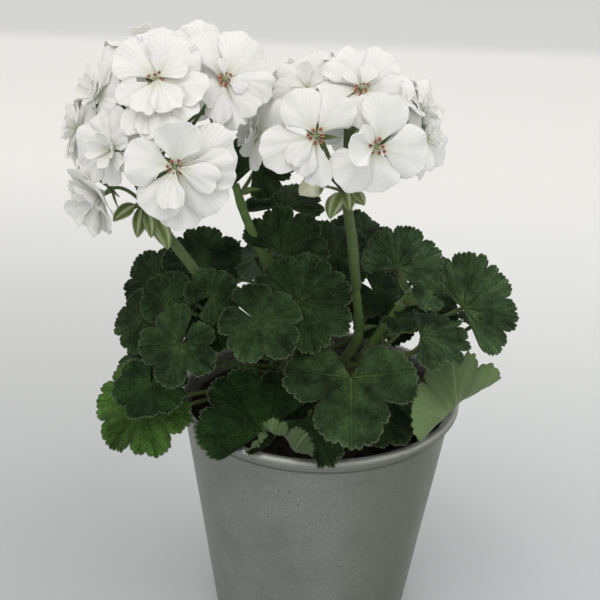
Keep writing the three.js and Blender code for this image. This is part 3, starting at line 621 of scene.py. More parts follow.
def leaf_margin(leaf, share):
    """Radius of a blade at a share (-1 to 1) of its spread: lobes with notches between, and round teeth."""
    phase, teeth = leaf["phase"], leaf["teeth"]
    place = (share + 1) / 2 * leaf["lobes"]
    across = place - np.floor(place + 1e-6)
    notch = np.abs(2 * across - 1) ** 3
    tooth = 1 - np.abs(np.sin(np.pi * teeth * across)) ** 0.7
    small = 1 - np.abs(np.sin(np.pi * teeth * 3 * across)) ** 0.8
    uneven = 1 + 0.5 * np.sin(9 * share + phase) + 0.4 * np.sin(23 * share + 2 * phase)
    cut = leaf["cut"] * notch + TOOTH_CUT * tooth * uneven + SMALL_TOOTH_CUT * small
    return leaf["size"] * (1 - BASE_TAPER * share**2) * (1 + leaf["lean"] * share) * (1 - cut)


def folded(fold, along, across, height):
    """Flat places moved along and up by a fold of the blade that starts at a line."""
    towards, radius = math.radians(fold["towards"]), fold["radius"]
    past = along * math.cos(towards) + across * math.sin(towards) - fold["start"]
    bend = np.minimum(past / radius, math.radians(fold["limit"]))
    straight = past - bend * radius
    moved = (radius - height) * np.sin(bend) + straight * np.cos(bend) - past
    lifted = radius - (radius - height) * np.cos(bend) + straight * np.sin(bend)
    inside = past <= 0
    return (
        np.where(inside, along, along + moved * math.cos(towards)),
        np.where(inside, across, across + moved * math.sin(towards)),
        np.where(inside, height, lifted),
    )


def side_veins(place, reach):
    """1 on the side veins of a lobe, which branch off its main vein, and 0 away from them."""
    across = np.abs(place - np.floor(place) - 0.5)
    total = 0
    for start, end in SIDE_VEINS:
        way = np.clip((reach - start) / (1 - start), 0, 1)
        beside = (across - way * end) * reach
        total = np.maximum(total, np.exp(-((beside / 0.035) ** 2)) * np.minimum(way * 4, 1))
    return total


def leaf_surface(leaf, a, b):
    """Points of a leaf's middle surface, from their places along (a) and across (b) the flat blade."""
    reach = np.hypot(a, b) / leaf["size"]
    angle = np.arctan2(b, a)
    place = (angle / math.radians(leaf["spread"]) + 1) / 2 * leaf["lobes"]
    pleat = 2 * np.abs(np.cos(np.pi * place)) ** 0.9 - 1
    ruffle = np.sin(0.7 * np.pi * place * leaf["teeth"] + leaf["phase"])
    ruffle = ruffle + np.sin(5.3 * angle + 2 * leaf["phase"])
    height = (leaf["cup"] + LEAF_WAVE * np.sin(3 * angle)) * reach**2 + LEAF_PLEAT * reach * pleat
    height += LEAF_RUFFLE * ruffle * reach**3 - LEAF_RIB * side_veins(place, reach)
    height *= leaf["size"]
    if "fold" in leaf:
        a, b, height = folded(leaf["fold"], a, b, height)
    normal = direction(leaf["face"])
    tip = turned(down_slope(leaf["face"]), normal, leaf["turn"])
    across = np.cross(normal, tip)
    return np.array(leaf["at"]) + a[..., None] * tip + b[..., None] * across + height[..., None] * normal


def leaf_tint(leaf, shares, places):
    """Tint of a blade's points: painted shade between the lobes and broad bands of painted light and shade
    across the blade, a faint darker ring and a paler centre.
    """
    random = leaf["random"]
    across, reach = places.T
    tone = np.array(TONES[leaf["tone"]]) * random.uniform(0.9, 1.12)
    # Painted shade between the lobes, and soft broad bands of painted light and shade across the blade
    lobe_gap_shade = np.abs(2 * (across - np.floor(across)) - 1) ** 4
    shade = 1 + 0.25 * np.sin(shares * 7 + random.uniform(0, 6)) * reach - 0.42 * lobe_gap_shade * reach
    shade -= 0.13 * np.exp(-(((reach - 0.5) / 0.2) ** 2))
    centre = np.exp(-((reach / 0.22) ** 2))[:, None]
    return tone * shade[:, None] * (1 - centre) + tone * (1.45, 1.4, 1.1) * centre


def petiole_line(leaf):
    """Middle line of a petiole, out of its branch, up, and to the back of its blade."""
    branch, share = leaf["root"]
    start = curve_through(BRANCHES[branch][0], 100)[round(share * 100)]
    normal = direction(leaf["face"])
    end = leaf_surface(leaf, np.array(PETIOLE_SEAT), np.array(0.0)) - normal * 0.1
    length = np.linalg.norm(end - start)
    leave = start + (end - start) * (0.3, 0.3, 0) + (0, 0, length * 0.12)
    arrive = end - normal * length * 0.3
    return evenly(bezier([start, leave, arrive, end], 40), 18)


def add_margin_hairs(shape, middle, normals, columns, random):
    """Short hairs that stand out of the last row of a blade's points."""
    last = len(middle) - columns
    edge = random.integers(0, columns - 1, MARGIN_HAIRS)
    share = random.uniform(0, 1, MARGIN_HAIRS)[:, None]
    roots = middle[last + edge] * (1 - share) + middle[last + edge + 1] * share
    inward = middle[last - columns + edge]
    ways = unit(roots - inward) + normals[last + edge] * random.normal(0, 0.5, (MARGIN_HAIRS, 1))
    ways = ways + random.normal(0, 0.3, (MARGIN_HAIRS, 3))
    add_hairs(shape, roots, ways, random.uniform(0.4, 0.9, MARGIN_HAIRS), MARGIN_HAIR_RADIUS, LEAF_HAIR)


def leaf_piece(name, leaf, materials):
    """One leaf: toothed blade, petiole and hairs."""
    shape = Shape()
    lobes, rows = leaf["lobes"], len(LEAF_ROWS)
    columns = lobes * leaf["teeth"] * LEAF_COLUMNS_PER_TOOTH + 1
    share = np.linspace(-1, 1, columns)
    shares = np.concatenate([[0], np.tile(share, rows)])
    radii = np.concatenate([[0], np.outer(LEAF_ROWS, leaf_margin(leaf, share)).ravel()])
    angles = shares * math.radians(leaf["spread"])
    surface = partial(leaf_surface, leaf)
    a, b = radii * np.cos(angles), radii * np.sin(angles)
    upper, lower, normals = sheet_faces(surface, a, b, step=0.15, thickness=LEAF_THICKNESS)
    places = np.stack([np.tile((share + 1) / 2 * lobes, rows), np.repeat(LEAF_ROWS, columns)], axis=-1)
    places = np.concatenate([[[lobes / 2, 0]], places])
    tint = leaf_tint(leaf, shares, places)
    add_blade(shape, upper, lower, rows, columns, (LEAF_TOP, LEAF_UNDER), places, tint)
    line = petiole_line(leaf)
    way = np.linspace(0, 1, len(line))
    radius = PETIOLE_RADIUS * (0.85 + 0.35 * (2 * way - 1) ** 4)
    skin = add_tube(shape, line, radius, 8, PETIOLE)
    add_fuzz(shape, skin, PETIOLE_HAIRS, (0.6, 1.3), leaf["random"], LEAF_HAIR, 0.35)
    add_margin_hairs(shape, (upper + lower) / 2, normals, columns, leaf["random"])
    shape.make_piece(f"blade_{name}", materials, f"leaf_{name}")


# Flowers


def petal_surface(floret, petal, t, u):
    """Points of a petal's middle surface: t from 0 at its foot to 1 at its tip, u from -1 to 1 across it.

    Its lift adds up its rise and curl, a bulge, a tilt, creases, low ripples and a ruffled edge.
    """
    phase = petal["phase"]
    width = math.radians(petal["width"]) * (0.42 + 0.58 * t**0.9)
    outline = 1 - petal["round"] * np.abs(u) ** 3.2 - 0.05 * petal["dent"] * np.exp(-((u / 0.15) ** 2))
    outline += (0.022 * np.sin(6 * u + phase) + 0.012 * np.sin(15 * u + 3 * phase)) * t**3
    distance = petal["length"] * t * outline
    angle = math.radians(petal["angle"]) + u * width
    lift = 0.07 * (1 - np.exp(-t / 0.1)) + petal["rise"] * t - petal["curl"] * t**3
    lift += petal["bulge"] * (0.03 * np.sin(np.pi * t) - 0.09 * u**2 * t)
    lift += PETAL_TILT * u * t
    lift += petal["crease"] * 0.024 * np.abs(np.sin(5.2 * u + phase)) ** 0.8 * t
    lift += 0.018 * np.sin(3.1 * u + 4 * t + phase) * t + 0.014 * np.sin(5 * u - 6 * t + 2 * phase) * t
    lift += 0.008 * np.sin(9 * u + 7 * t + 3 * phase) * np.sin(11 * t - 4 * u + phase) * t
    lift += (0.036 * np.sin(6 * u + 2 * phase) + 0.018 * np.sin(12 * u + phase)) * t**4
    height = petal["climb"] + petal["length"] * lift
    normal, down = direction(floret["face"]), down_slope(floret["face"])
    outward = np.cos(angle)[..., None] * down + np.sin(angle)[..., None] * np.cross(normal, down)
    return np.array(floret["at"]) + outward * distance[..., None] + normal * height[..., None]


def add_petal(shape, floret, petal):
    """One thin petal with its foot in the middle of a floret."""
    rows, columns = len(PETAL_ROWS), PETAL_COLUMNS
    u = np.concatenate([[0], np.tile(np.linspace(-1, 1, columns), rows)])
    t = np.concatenate([[0.04], np.repeat(PETAL_ROWS, columns)])
    surface = partial(petal_surface, floret, petal)
    upper, lower, _ = sheet_faces(surface, t, u, step=0.01, thickness=PETAL_THICKNESS)
    places = np.stack([u, t], axis=-1)
    add_blade(shape, upper, lower, rows, columns, (PETAL, PETAL), places, petal["tint"])


def petal_rows(floret, seed):
    """The petals of a floret as rows of numbers: its own, or five outer ones and smaller ones inside them.

    A full floret also has small crumpled petals that stand over its centre.
    """
    random = np.random.default_rng(seed)
    rows = list(floret.get("petals", []))
    start = floret.get("turn", 0)
    kinds = [] if rows else [OUTER_PETAL] * OUTER_PETALS + [INNER_PETAL] * floret["inner"]
    for step, *ranges in kinds:
        length, width, rise, curl = [random.uniform(*limits) for limits in ranges]
        angle = start + step / 2 + random.uniform(-6, 6)
        rows.append((angle, floret["size"] * length, width, rise, curl, random.uniform(0.3, 2)))
        start += step
    for i in range(CENTRE_PETALS if "full" in floret else 0):
        angle = start + i * 360 / CENTRE_PETALS + random.uniform(-15, 15)
        length = floret["size"] * random.uniform(0.3, 0.4)
        rows.append((angle, length, 48, random.uniform(0.35, 0.6), random.uniform(-0.6, -0.3), 3))
    return rows


def floret_petals(floret, seed):
    """The petals of a floret with all that differs between them."""
    random = np.random.default_rng(1000 + seed)
    petals = []
    for i, row in enumerate(petal_rows(floret, seed)):
        petals.append(dict(
            zip(("angle", "length", "width", "rise", "curl", "crease"), row),
            round=random.uniform(0.34, 0.46),
            dent=random.uniform(0, 1),
            phase=random.uniform(0, 6.28),
            bulge=random.uniform(0.6, 1.4),
            climb=min(CLIMB_STEP * i, MOST_CLIMB) + FIRST_CLIMB,
            tint=np.ones(3) * random.uniform(0.97, 1.0),
        ))
    return petals


def add_stamens(shape, floret, seed):
    """Stamens with peach anthers, dark in the slit between their lobes with their own darker colour and
    painted shade, and a greenish pistil with curled tips.
    """
    random = np.random.default_rng(500 + seed)
    normal = direction(floret["face"])
    down = down_slope(floret["face"])
    at = np.array(floret["at"], float)
    for i in range(STAMENS):
        outward = turned(down, normal, i * 360 / STAMENS + random.uniform(-14, 14))
        foot = at + outward * 0.7 + normal * 1.2
        height, reach = random.uniform(4.0, 5.4), random.uniform(2.0, 3.4)
        top = at + outward * reach + normal * height
        middle = at + outward * (reach * 0.4) + normal * (height * 0.75)
        add_tube(shape, bezier([foot, middle, top], 5), 0.2, 5, FILAMENT)
        side = np.cross(normal, outward)
        lean = unit(normal * 0.5 - outward * 0.6)
        axes = [side, np.cross(side, lean), lean]
        for half in (-0.42, 0.42):
            add_ball(shape, top + side * half, axes, (0.48, 0.44, 1.05), 6, 8, ANTHER, ANTHER_PEACH)
        # A dark ball in the slit between the two lobes: the anther's own darker colour and painted shade
        # there
        dark = top + normal * 0.36 - outward * 0.2
        add_ball(shape, dark, axes, (0.40, 0.36, 0.9), 5, 6, ANTHER, ANTHER_SLIT_COLOUR_AND_SHADE)
    top = at + normal * PISTIL_HEIGHT
    add_tube(shape, bezier([at, at + normal * 2, top], 4), [0.7, 0.65, 0.5, 0.42, 0.4], 7, PISTIL)
    for outward in whorl(down, normal, STIGMAS, 36):
        line = bezier([top, top + normal * 0.9 + outward * 0.2, top + normal * 0.9 + outward * 1.2], 4)
        add_tube(shape, line, [0.24, 0.22, 0.2, 0.16, 0.1], 5, PISTIL)


def petals_piece(name, head, materials):
    """All petals, stamens and pistils of a head."""
    shape = Shape()
    for place, floret in enumerate(head["florets"]):
        for petal in floret_petals(floret, 11 + place):
            add_petal(shape, floret, petal)
        if "full" not in floret:
            add_stamens(shape, floret, place)
    shape.make_piece(f"petals_{name}", materials, f"florets_{name}")


def add_sepal(shape, base, way, outward, length, width):
    """A narrow pointed sepal that starts along one direction and bends to another."""
    rows, columns = 9, 5
    along = np.linspace(0, 1, rows)[:, None]
    middle = base + way * along * length * 0.8 + outward * along**2 * length * 0.5
    side = unit(np.cross(way, outward))
    half_width = width * np.sin(np.pi * (0.12 + 0.88 * along) ** 0.8) * 0.5 + 0.05
    across = np.linspace(-1, 1, columns)
    normal = unit(np.cross(side, way))
    points = middle[:, None] + side * (half_width * across)[..., None]
    points = points - normal * (0.4 * half_width * across**2)[..., None]
    points = np.concatenate([base[None], points.reshape(-1, 3)])
    half = normal * SEPAL_THICKNESS / 2
    add_blade(shape, points + half, points - half, rows, columns, (SEPAL, SEPAL))


def add_bud(shape, hub, bud, random):
    """A nodding bud on its pedicel, with five ribbed sepals closed round the petals."""
    tip = np.array(bud["tip"], float)
    gap = np.linalg.norm(tip - hub)
    arrive = tip - direction(bud["face"]) * gap * 0.35
    line = evenly(bezier([hub, arrive, tip], 60), 40)
    way = np.linspace(0, 1, len(line))
    bud_share = min(0.8, bud["length"] / gap)
    inside = np.clip((way - 1 + bud_share) / bud_share, 0, 1)
    swell = np.abs(np.sin(np.pi * inside**0.85)) ** 0.72
    profile = np.maximum(PEDICEL_RADIUS * (1 - 0.75 * way), bud["radius"] * swell)
    rib = np.abs(np.cos(SEPALS / 2 * circle(BUD_SIDES)))
    ridge = 1 + 0.16 * (rib[None] - 0.6) * swell[:, None]
    opening = np.clip((inside - 0.35) / 0.3, 0, 1) if "opening" in bud else 0 * inside
    tint = BUD_GREEN * (1 - opening[:, None]) + BUD_CREAM * opening[:, None]
    skin = add_tube(shape, line, profile, BUD_SIDES, BUD, tint, ridge)
    add_fuzz(shape, skin, BUD_HAIRS, SHORT_HAIRS, random)


def add_pedicel(shape, hub, floret, random):
    """A floret's pedicel from the hub, which widens to a cup with sepals under the petals."""
    facing, down = direction(floret["face"]), down_slope(floret["face"])
    seat = np.array(floret["at"]) - facing * 0.7
    gap = np.linalg.norm(seat - hub)
    line = evenly(bezier([hub, seat - facing * gap * 0.35, seat], 30), 16)
    way = np.linspace(0, 1, len(line))
    radius = PEDICEL_RADIUS + (CUP_RADIUS - PEDICEL_RADIUS) * np.clip((way - 0.86) / 0.14, 0, 1) ** 1.5
    add_fuzz(shape, add_tube(shape, line, radius, 8, STALK), PEDICEL_HAIRS, SHORT_HAIRS, random)
    for outward in whorl(down, facing, SEPALS, 20):
        base = seat - facing * 1.6 + outward * 1.1
        add_sepal(shape, base, unit(facing * 0.5 + outward), outward, 6.4, 2.1)


def stalk_piece(name, head, materials):
    """Green parts of a head: peduncle, hub with bracts, pedicels, calyxes and buds, with their hairs."""
    random = np.random.default_rng(len(name))
    shape = Shape()
    line = curve_through(head["peduncle"], 40)
    hub = line[-1]
    way = np.linspace(0, 1, len(line))
    radius = PEDUNCLE_RADIUS * (1 + 0.5 * np.exp(-(((way - 1) / 0.05) ** 2)))
    add_fuzz(shape, add_tube(shape, line, radius, 16, STALK), PEDUNCLE_HAIRS, LONG_HAIRS, random)
    for floret in head["florets"]:
        add_pedicel(shape, hub, floret, random)
    for bud in head["buds"]:
        add_bud(shape, hub, bud, random)
    for outward in whorl(np.array((1.0, 0, 0)), np.array((0, 0, 1.0)), BRACTS):
        base, way = hub - (0, 0, 1.5) + outward * 1.8, unit(outward + (0, 0, -0.8))
        add_sepal(shape, base, way, outward, 3.6, 1.6)
    shape.make_piece(f"stalk_{name}", materials, f"flower_stalk_{name}")


# Stem, soil and pot


def stem_piece(leaves, materials):
    """Woody stem with its side branches, swollen at the joints, and two stipules at each petiole."""
    random = np.random.default_rng(4)
    shape = Shape()
    for points, (start, end) in BRANCHES.values():
        line = curve_through(points, 60)
        way = np.linspace(0, 1, len(line))
        joints = 0.12 * np.exp(-(((way * 6) % 1 - 0.5) / 0.12) ** 2)
        radius = (start + (end - start) * way) * (0.96 + joints)
        woody = np.clip(1.2 - (line[:, 2] - SOIL_TOP) / 34, 0, 1)[:, None]
        tint = STEM_BROWN * woody + STEM_GREEN * (1 - woody)
        skin = add_tube(shape, line, radius, 20, WOOD, tint)
        add_fuzz(shape, skin, STEM_HAIRS, SHORT_HAIRS, random)
    for leaf in leaves:
        line = petiole_line(leaf)
        base, way = line[0], unit(line[2] - line[0])
        side = unit(np.cross(way, (0, 0, 1)))
        for hand in (-1, 1):
            foot = base + way * 1.6 + side * hand * 1.2
            add_sepal(shape, foot, unit(way + side * hand * 0.5), side * hand, 7, 4)
    shape.make_piece("stem_wood", materials, "stem")


def smooth_noise(points, scale, seed):
    """Smooth random heights from -1 to 1 at points, as a sum of crossed waves."""
    random = np.random.default_rng(seed)
    total = np.zeros(len(points))
    for octave in range(4):
        for _ in range(5):
            wave = random.normal(0, 1, 3)
            total += np.sin(points @ wave * scale * 2**octave + random.uniform(0, 6.28)) / 2**octave
    return total / 5


def soil_piece(materials):
    """Crumbly soil that fills the pot."""
    random = np.random.default_rng(8)
    shape = Shape()
    radii = np.linspace(0.02, 1, SOIL_RINGS)[:, None] * SOIL_RADIUS
    angles = circle(SOIL_SEGMENTS)
    grid = round_axis(radii, angles, SOIL_TOP).reshape(-1, 3)
    lumps = smooth_noise(grid, 0.22, 1) * 0.9 + smooth_noise(grid, 0.9, 2) * 0.5
    grid[:, 2] += lumps * np.clip((SOIL_RADIUS - np.hypot(grid[:, 0], grid[:, 1])) / 3, 0, 1)
    floor = round_axis(SOIL_BASE_RADIUS, angles, SOIL_BOTTOM)
    points = np.concatenate([grid, floor, [[0, 0, SOIL_TOP], [0, 0, SOIL_BOTTOM]]])
    count = len(grid) + len(floor)
    shape.add(points, [
        grid_faces(SOIL_RINGS + 1, SOIL_SEGMENTS, closed=True),
        cap_faces(count, 0, SOIL_SEGMENTS),
        cap_faces(count + 1, len(grid), SOIL_SEGMENTS, flip=True),
    ])
    for _ in range(CRUMBS):
        distance, angle = SOIL_RADIUS * 0.95 * math.sqrt(random.uniform()), random.uniform(0, 6.28)
        size = random.uniform(0.7, 2.4)
        centre = (distance * math.cos(angle), distance * math.sin(angle), SOIL_TOP + size * 0.3)
        axes = np.linalg.qr(random.normal(0, 1, (3, 3)))[0]
        tint = np.ones(3) * random.uniform(0.6, 1.7)
        add_ball(shape, centre, axes, size * random.uniform(0.5, 1.1, 3), 5, 7, 0, tint)
    shape.make_piece("soil_crumbs", materials, "soil")


def pot_profile():
    """Radius and height of points up the outside of the pot's wall, round its bead and down the inside."""
    wall_top = POT_HEIGHT - 2 * BEAD_RADIUS
    bead_radius, bead_height = POT_TOP_RADIUS + BEAD_RADIUS / 2, POT_HEIGHT - BEAD_RADIUS
    flare = POT_TOP_RADIUS - POT_BASE_RADIUS
    foot = [(POT_BASE_RADIUS - 3, 0), (POT_BASE_RADIUS - 1, 0.2), (POT_BASE_RADIUS - 0.2, 0.9)]
    outer = [
        (POT_BASE_RADIUS + flare * share, 1.8 + (wall_top - 2.2) * share)
        for share in np.linspace(0, 1, POT_ROWS)
    ]
    roll = [
        (bead_radius + BEAD_RADIUS * math.cos(bend), bead_height + BEAD_RADIUS * math.sin(bend))
        for bend in np.radians(np.linspace(-120, 150, BEAD_STEPS))
    ]
    inner = [
        (POT_BASE_RADIUS - POT_WALL + flare * share, POT_WALL + (wall_top - POT_WALL) * share)
        for share in (1, 0.8, 0.5, 0)
    ]
    return np.array([(0.01, 0), *foot, *outer, *roll, *inner, (0.01, POT_WALL)])


def pot_piece(materials):
    """Tapered pot of thin metal with a rolled bead at the rim and shallow dents."""
    profile = pot_profile()
    angles = circle(POT_SEGMENTS)
    radius, height = [np.repeat(column[:, None], POT_SEGMENTS, axis=1) for column in profile.T]
    wall_height = POT_HEIGHT - 2 * BEAD_RADIUS - 6
    wall = np.sin(np.pi * np.clip((height - 4) / wall_height, 0, 1)) ** 0.5
    swells = smooth_noise(round_axis(radius, angles, height).reshape(-1, 3), 0.035, 3)
    radius = radius + wall * swells.reshape(height.shape) * POT_UNEVENNESS
    for at, level, wide, tall, deep in POT_DENTS:
        spread = ((np.degrees(angles) - at) / wide) ** 2 + ((height - level) / tall) ** 2
        radius = radius - deep * np.exp(-spread) * (wall > 0)
    shape = Shape()
    faces = grid_faces(len(profile), POT_SEGMENTS, closed=True)[:, ::-1]
    shape.add(round_axis(radius, angles, height), [faces])
    shape.make_piece("pot_metal", materials, "pot")


# Materials


class Surface:
    """Short ways to build one material's nodes."""

    def __init__(self, name, roughness, specular=0.5, **sockets):
        self.material = bpy.data.materials.new(name)
        self.material.use_nodes = True
        self.nodes = self.material.node_tree.nodes
        self.links = self.material.node_tree.links
        self.shader = self.nodes["Principled BSDF"]
        self.shader.inputs["Roughness"].default_value = roughness
        self.shader.inputs["Specular IOR Level"].default_value = specular
        for socket, value in sockets.items():
            self.put(self.shader.inputs[socket.replace("_", " ").title()], value)

    def put(self, socket, value):
        """Links a socket to a value, or sets it."""
        if isinstance(value, bpy.types.NodeSocket):
            self.links.new(value, socket)
        else:
            socket.default_value = (*value, 1) if socket.type == "RGBA" else value

    def node(self, kind, inputs=(), **settings):
        """Outputs of a new node, whose inputs are given by name or number."""
        node = self.nodes.new(f"ShaderNode{kind}")
        for setting, value in settings.items():
            setattr(node, setting, value)
        for key, value in dict(inputs).items():
            self.put(node.inputs[key], value)
        return node.outputs

    def math(self, operation, *values, clamp=False):
        return self.node("Math", enumerate(values), operation=operation, use_clamp=clamp)[0]

    def times(self, first, *factors):
        """The product of some values."""
        for factor in factors:
            first = self.math("MULTIPLY", first, factor)
        return first

    def scaled(self, value, factor, start, clamp=False):
        """A value times a factor, plus a start."""
        return self.math("MULTIPLY_ADD", value, factor, start, clamp=clamp)

    def fall(self, value, inner, outer):
        """1 up to the inner value, falling softly to 0 at the outer one."""
        numbers = enumerate((value, inner, outer, 1.0, 0.0))
        return self.node("MapRange", numbers, interpolation_type="SMOOTHSTEP")[0]

    def rise(self, value, inner, outer):
        """0 up to the inner value, rising softly to 1 at the outer one."""
        return self.math("SUBTRACT", 1.0, self.fall(value, inner, outer))

    def mix(self, share, first, second, blend="MIX"):
        return self.node("Mix", {0: share, 6: first, 7: second}, data_type="RGBA", blend_type=blend)[2]

    def shaded(self, colour, shade):
        """A colour times a number or another colour."""
        return self.mix(1.0, colour, shade, "MULTIPLY")

    def coordinates(self):
        return self.node("TexCoord")["Object"]

    def stretched(self, scale):
        """Object coordinates with their own scale on each axis."""
        return self.node("Mapping", {0: self.coordinates(), "Scale": scale})[0]

    def split(self, vector):
        """The three numbers of a vector."""
        return tuple(self.node("SeparateXYZ", {0: vector}))

    def place(self):
        """The two numbers of the map: across and along."""
        return self.split(self.node("UVMap", uv_map="map")[0])[:2]

    def noise(self, scale, detail=3.0, roughness=0.5, at=None):
        at = at or self.coordinates()
        inputs = {"Vector": at, "Scale": scale, "Detail": detail, "Roughness": roughness}
        return self.node("TexNoise", inputs)["Fac"]

    def cells(self, scale, feature="F1"):
        inputs = {"Vector": self.coordinates(), "Scale": scale}
        return self.node("TexVoronoi", inputs, feature=feature)["Distance"]

    def tint(self):
        return self.node("Attribute", attribute_name="tint")["Color"]

    def blotched_tint(self, scale):
        """The tint of each point with soft darker and paler blotches."""
        return self.shaded(self.tint(), self.scaled(self.noise(scale), 0.8, 0.6))

    def colour(self, value):
        self.put(self.shader.inputs["Base Color"], value)

    def bump(self, height, distance, strength=1.0):
        inputs = {"Strength": strength, "Distance": distance, "Height": height}
        self.put(self.shader.inputs["Normal"], self.node("Bump", inputs)[0])


def main_veins(surface, place, reach):
    """1 on the main vein of each lobe of a leaf."""
    across = surface.math("ABSOLUTE", surface.math("SUBTRACT", surface.math("FRACT", place), 0.5))
    return surface.fall(surface.times(across, reach), 0.006, 0.022)


def leaf_top():
    """Velvety dark green with mottling, soft streaks of painted light and shade along the pleats, paler
    veins and a pale hairy margin.
    """
    surface = Surface("leaf_top", 0.6, 0.1)
    place, reach = surface.place()
    veins = main_veins(surface, place, reach)
    patches = surface.scaled(surface.noise(110, 5.0, 0.62), 3.2, -0.6)
    grain = surface.scaled(surface.noise(900, 3.0, 0.6), 1.2, 0.4)
    # Soft radial streaks of painted light and shade along the pleats
    streaks = surface.math("SINE", surface.times(place, 6 * math.pi))
    streaks = surface.scaled(surface.times(streaks, surface.rise(reach, 0.1, 1.0)), 0.16, 1.0)
    base = surface.shaded(surface.tint(), surface.times(patches, grain, streaks))
    shown = surface.times(veins, surface.fall(reach, 0.05, 0.75), 0.45)
    veined = surface.mix(shown, base, (0.09, 0.14, 0.04))
    margin = surface.times(surface.rise(reach, 0.965, 0.99), 0.7)
    surface.colour(surface.mix(margin, veined, (0.12, 0.16, 0.085)))
    net = surface.times(surface.cells(650, "DISTANCE_TO_EDGE"), 1.2)
    surface.bump(surface.scaled(veins, -1.0, net), 0.001)
    return surface.material


def leaf_under():
    """Pale grey-green underside with raised veins."""
    surface = Surface("leaf_under", 0.75, 0.25, sheen_weight=0.12, sheen_roughness=0.6)
    veins = main_veins(surface, *surface.place())
    tone = surface.shaded(surface.tint(), (3.3, 2.8, 2.5))
    surface.colour(surface.mix(surface.times(veins, 0.5), tone, (0.22, 0.27, 0.13)))
    surface.bump(surface.scaled(surface.cells(600, "DISTANCE_TO_EDGE"), 0.5, veins), 0.0006, 0.7)
    return surface.material


def petal_skin():
    """Soft white, greenish cream at the foot, with faint lengthwise veins."""
    surface = Surface(
        "petal_skin", 0.6, 0.3, subsurface_weight=0.3, subsurface_radius=(0.0022, 0.0024, 0.0018),
        subsurface_scale=1.0, sheen_weight=0.03,
    )
    across, along = surface.place()
    ripple = surface.math("SINE", surface.times(across, 26.0))
    veins = surface.fall(surface.math("ABSOLUTE", ripple), 0.0, 0.35)
    white = surface.shaded((0.92, 0.92, 0.88), surface.scaled(surface.noise(160), 0.06, 0.955))
    veined = surface.mix(surface.times(veins, 0.07), white, (0.66, 0.69, 0.56))
    foot = surface.times(surface.fall(along, 0.08, 0.6), 0.6)
    surface.colour(surface.mix(foot, veined, (0.70, 0.75, 0.50)))
    surface.bump(surface.scaled(veins, -0.4, surface.noise(260)), 0.0007, 0.5)
    return surface.material


def plain_skin(name, colour, roughness, variation=0.25, scale=300, **sockets):
    """A small part's skin: one colour with soft blotches and a fine grain."""
    surface = Surface(name, roughness, **sockets)
    darker = tuple(channel * (1 - variation) for channel in colour)
    surface.colour(surface.mix(surface.noise(scale), darker, colour))
    surface.bump(surface.noise(scale * 5), 0.0002, 0.4)
    return surface.material


def tinted_skin(name, roughness, scale):
    """A skin that takes its colour from the tint of each point, with soft blotches."""
    surface = Surface(name, roughness)
    surface.colour(surface.blotched_tint(scale))
    surface.bump(surface.noise(scale * 3), 0.0004, 0.5)
    return surface.material


def bud_skin():
    """Sepals closed round the bud, each with a pale hairy edge."""
    surface = Surface("bud_skin", 0.6, sheen_weight=0.15)
    across = surface.place()[0]
    band = surface.math("SINE", surface.times(across, SEPALS * math.pi))
    stripe = surface.fall(surface.math("ABSOLUTE", band), 0.25, 0.95)
    pale = surface.mix(0.55, surface.tint(), (0.75, 0.80, 0.52))
    surface.colour(surface.mix(surface.times(stripe, 0.85), surface.blotched_tint(300), pale))
    surface.bump(stripe, 0.0004, 0.5)
    return surface.material


def soil_skin():
    """Dark damp soil."""
    surface = Surface("soil_skin", 0.9, 0.2)
    grains = surface.mix(surface.noise(450, 6.0), (0.012, 0.008, 0.007), (0.055, 0.036, 0.028))
    surface.colour(surface.shaded(grains, surface.tint()))
    surface.bump(surface.noise(900, 6.0, 0.7), 0.001)
    return surface.material


def pot_skin():
    """Galvanised sheet: soft blotches, level streaks, a fine grain, a painted reflection of the leaves on
    the right and dark specks.

    A thin dark line of painted shade runs below the bead, and a painted highlight brightens the top of the
    bead.
    """
    surface = Surface("pot_skin", 0.42, metallic=0.8)
    x, y, z = surface.split(surface.coordinates())
    blotches = surface.scaled(surface.noise(48, 6.0, 0.66), 2.6, -0.8, clamp=True)
    streaks = surface.noise(1.0, 5.0, 0.7, surface.stretched((60, 60, 700)))
    grain = surface.scaled(surface.noise(1500, 2.0, 0.6), 2.8, -0.9, clamp=True)
    grey = surface.mix(blotches, (0.245, 0.253, 0.227), (0.43, 0.442, 0.407))
    grey = surface.mix(surface.times(surface.cells(210, "SMOOTH_F1"), 0.22), grey, (0.40, 0.41, 0.38))
    grey = surface.mix(surface.times(streaks, 0.55), grey, (0.22, 0.226, 0.205))
    grey = surface.mix(surface.times(grain, 0.75), grey, (0.215, 0.222, 0.204))
    # Painted reflection of the leaves: the front right of the pot darker and yellow-green, in soft blotches
    painted_reflection = surface.times(surface.rise(x, 0.0, 0.045), surface.fall(y, -0.035, 0.01))
    painted_reflection = surface.times(painted_reflection, surface.scaled(blotches, 0.4, 0.6))
    grey = surface.mix(painted_reflection, grey, surface.shaded(grey, (0.62, 0.63, 0.52)))
    # Painted shade: a thin dark line just below the bead
    from_bead_shade = surface.math("ABSOLUTE", surface.math("SUBTRACT", z, BEAD_SHADE_LINE * MM))
    band = surface.times(surface.fall(from_bead_shade, 0.0003, 0.0009), 0.6)
    grey = surface.mix(band, grey, (0.07, 0.07, 0.065))
    # Painted highlight: the top of the bead is made paler
    painted_bead_highlight = surface.times(surface.rise(z, (POT_HEIGHT - 2.5) * MM, (POT_HEIGHT - 0.2) * MM), 0.45)
    grey = surface.mix(painted_bead_highlight, grey, (0.62, 0.63, 0.60))
    rare = surface.math("GREATER_THAN", surface.noise(70, 2.0), 0.55)
    specks = surface.times(surface.fall(surface.cells(240), 0.07, 0.12), rare, 0.7)
    surface.colour(surface.mix(specks, grey, (0.04, 0.04, 0.036)))
    surface.put(surface.shader.inputs["Roughness"], surface.scaled(blotches, 0.25, 0.33))
    relief = surface.scaled(streaks, 0.35, surface.noise(90, 5.0, 0.6))
    surface.bump(surface.scaled(grain, 0.15, relief), 0.0009, 0.6)
    return surface.material


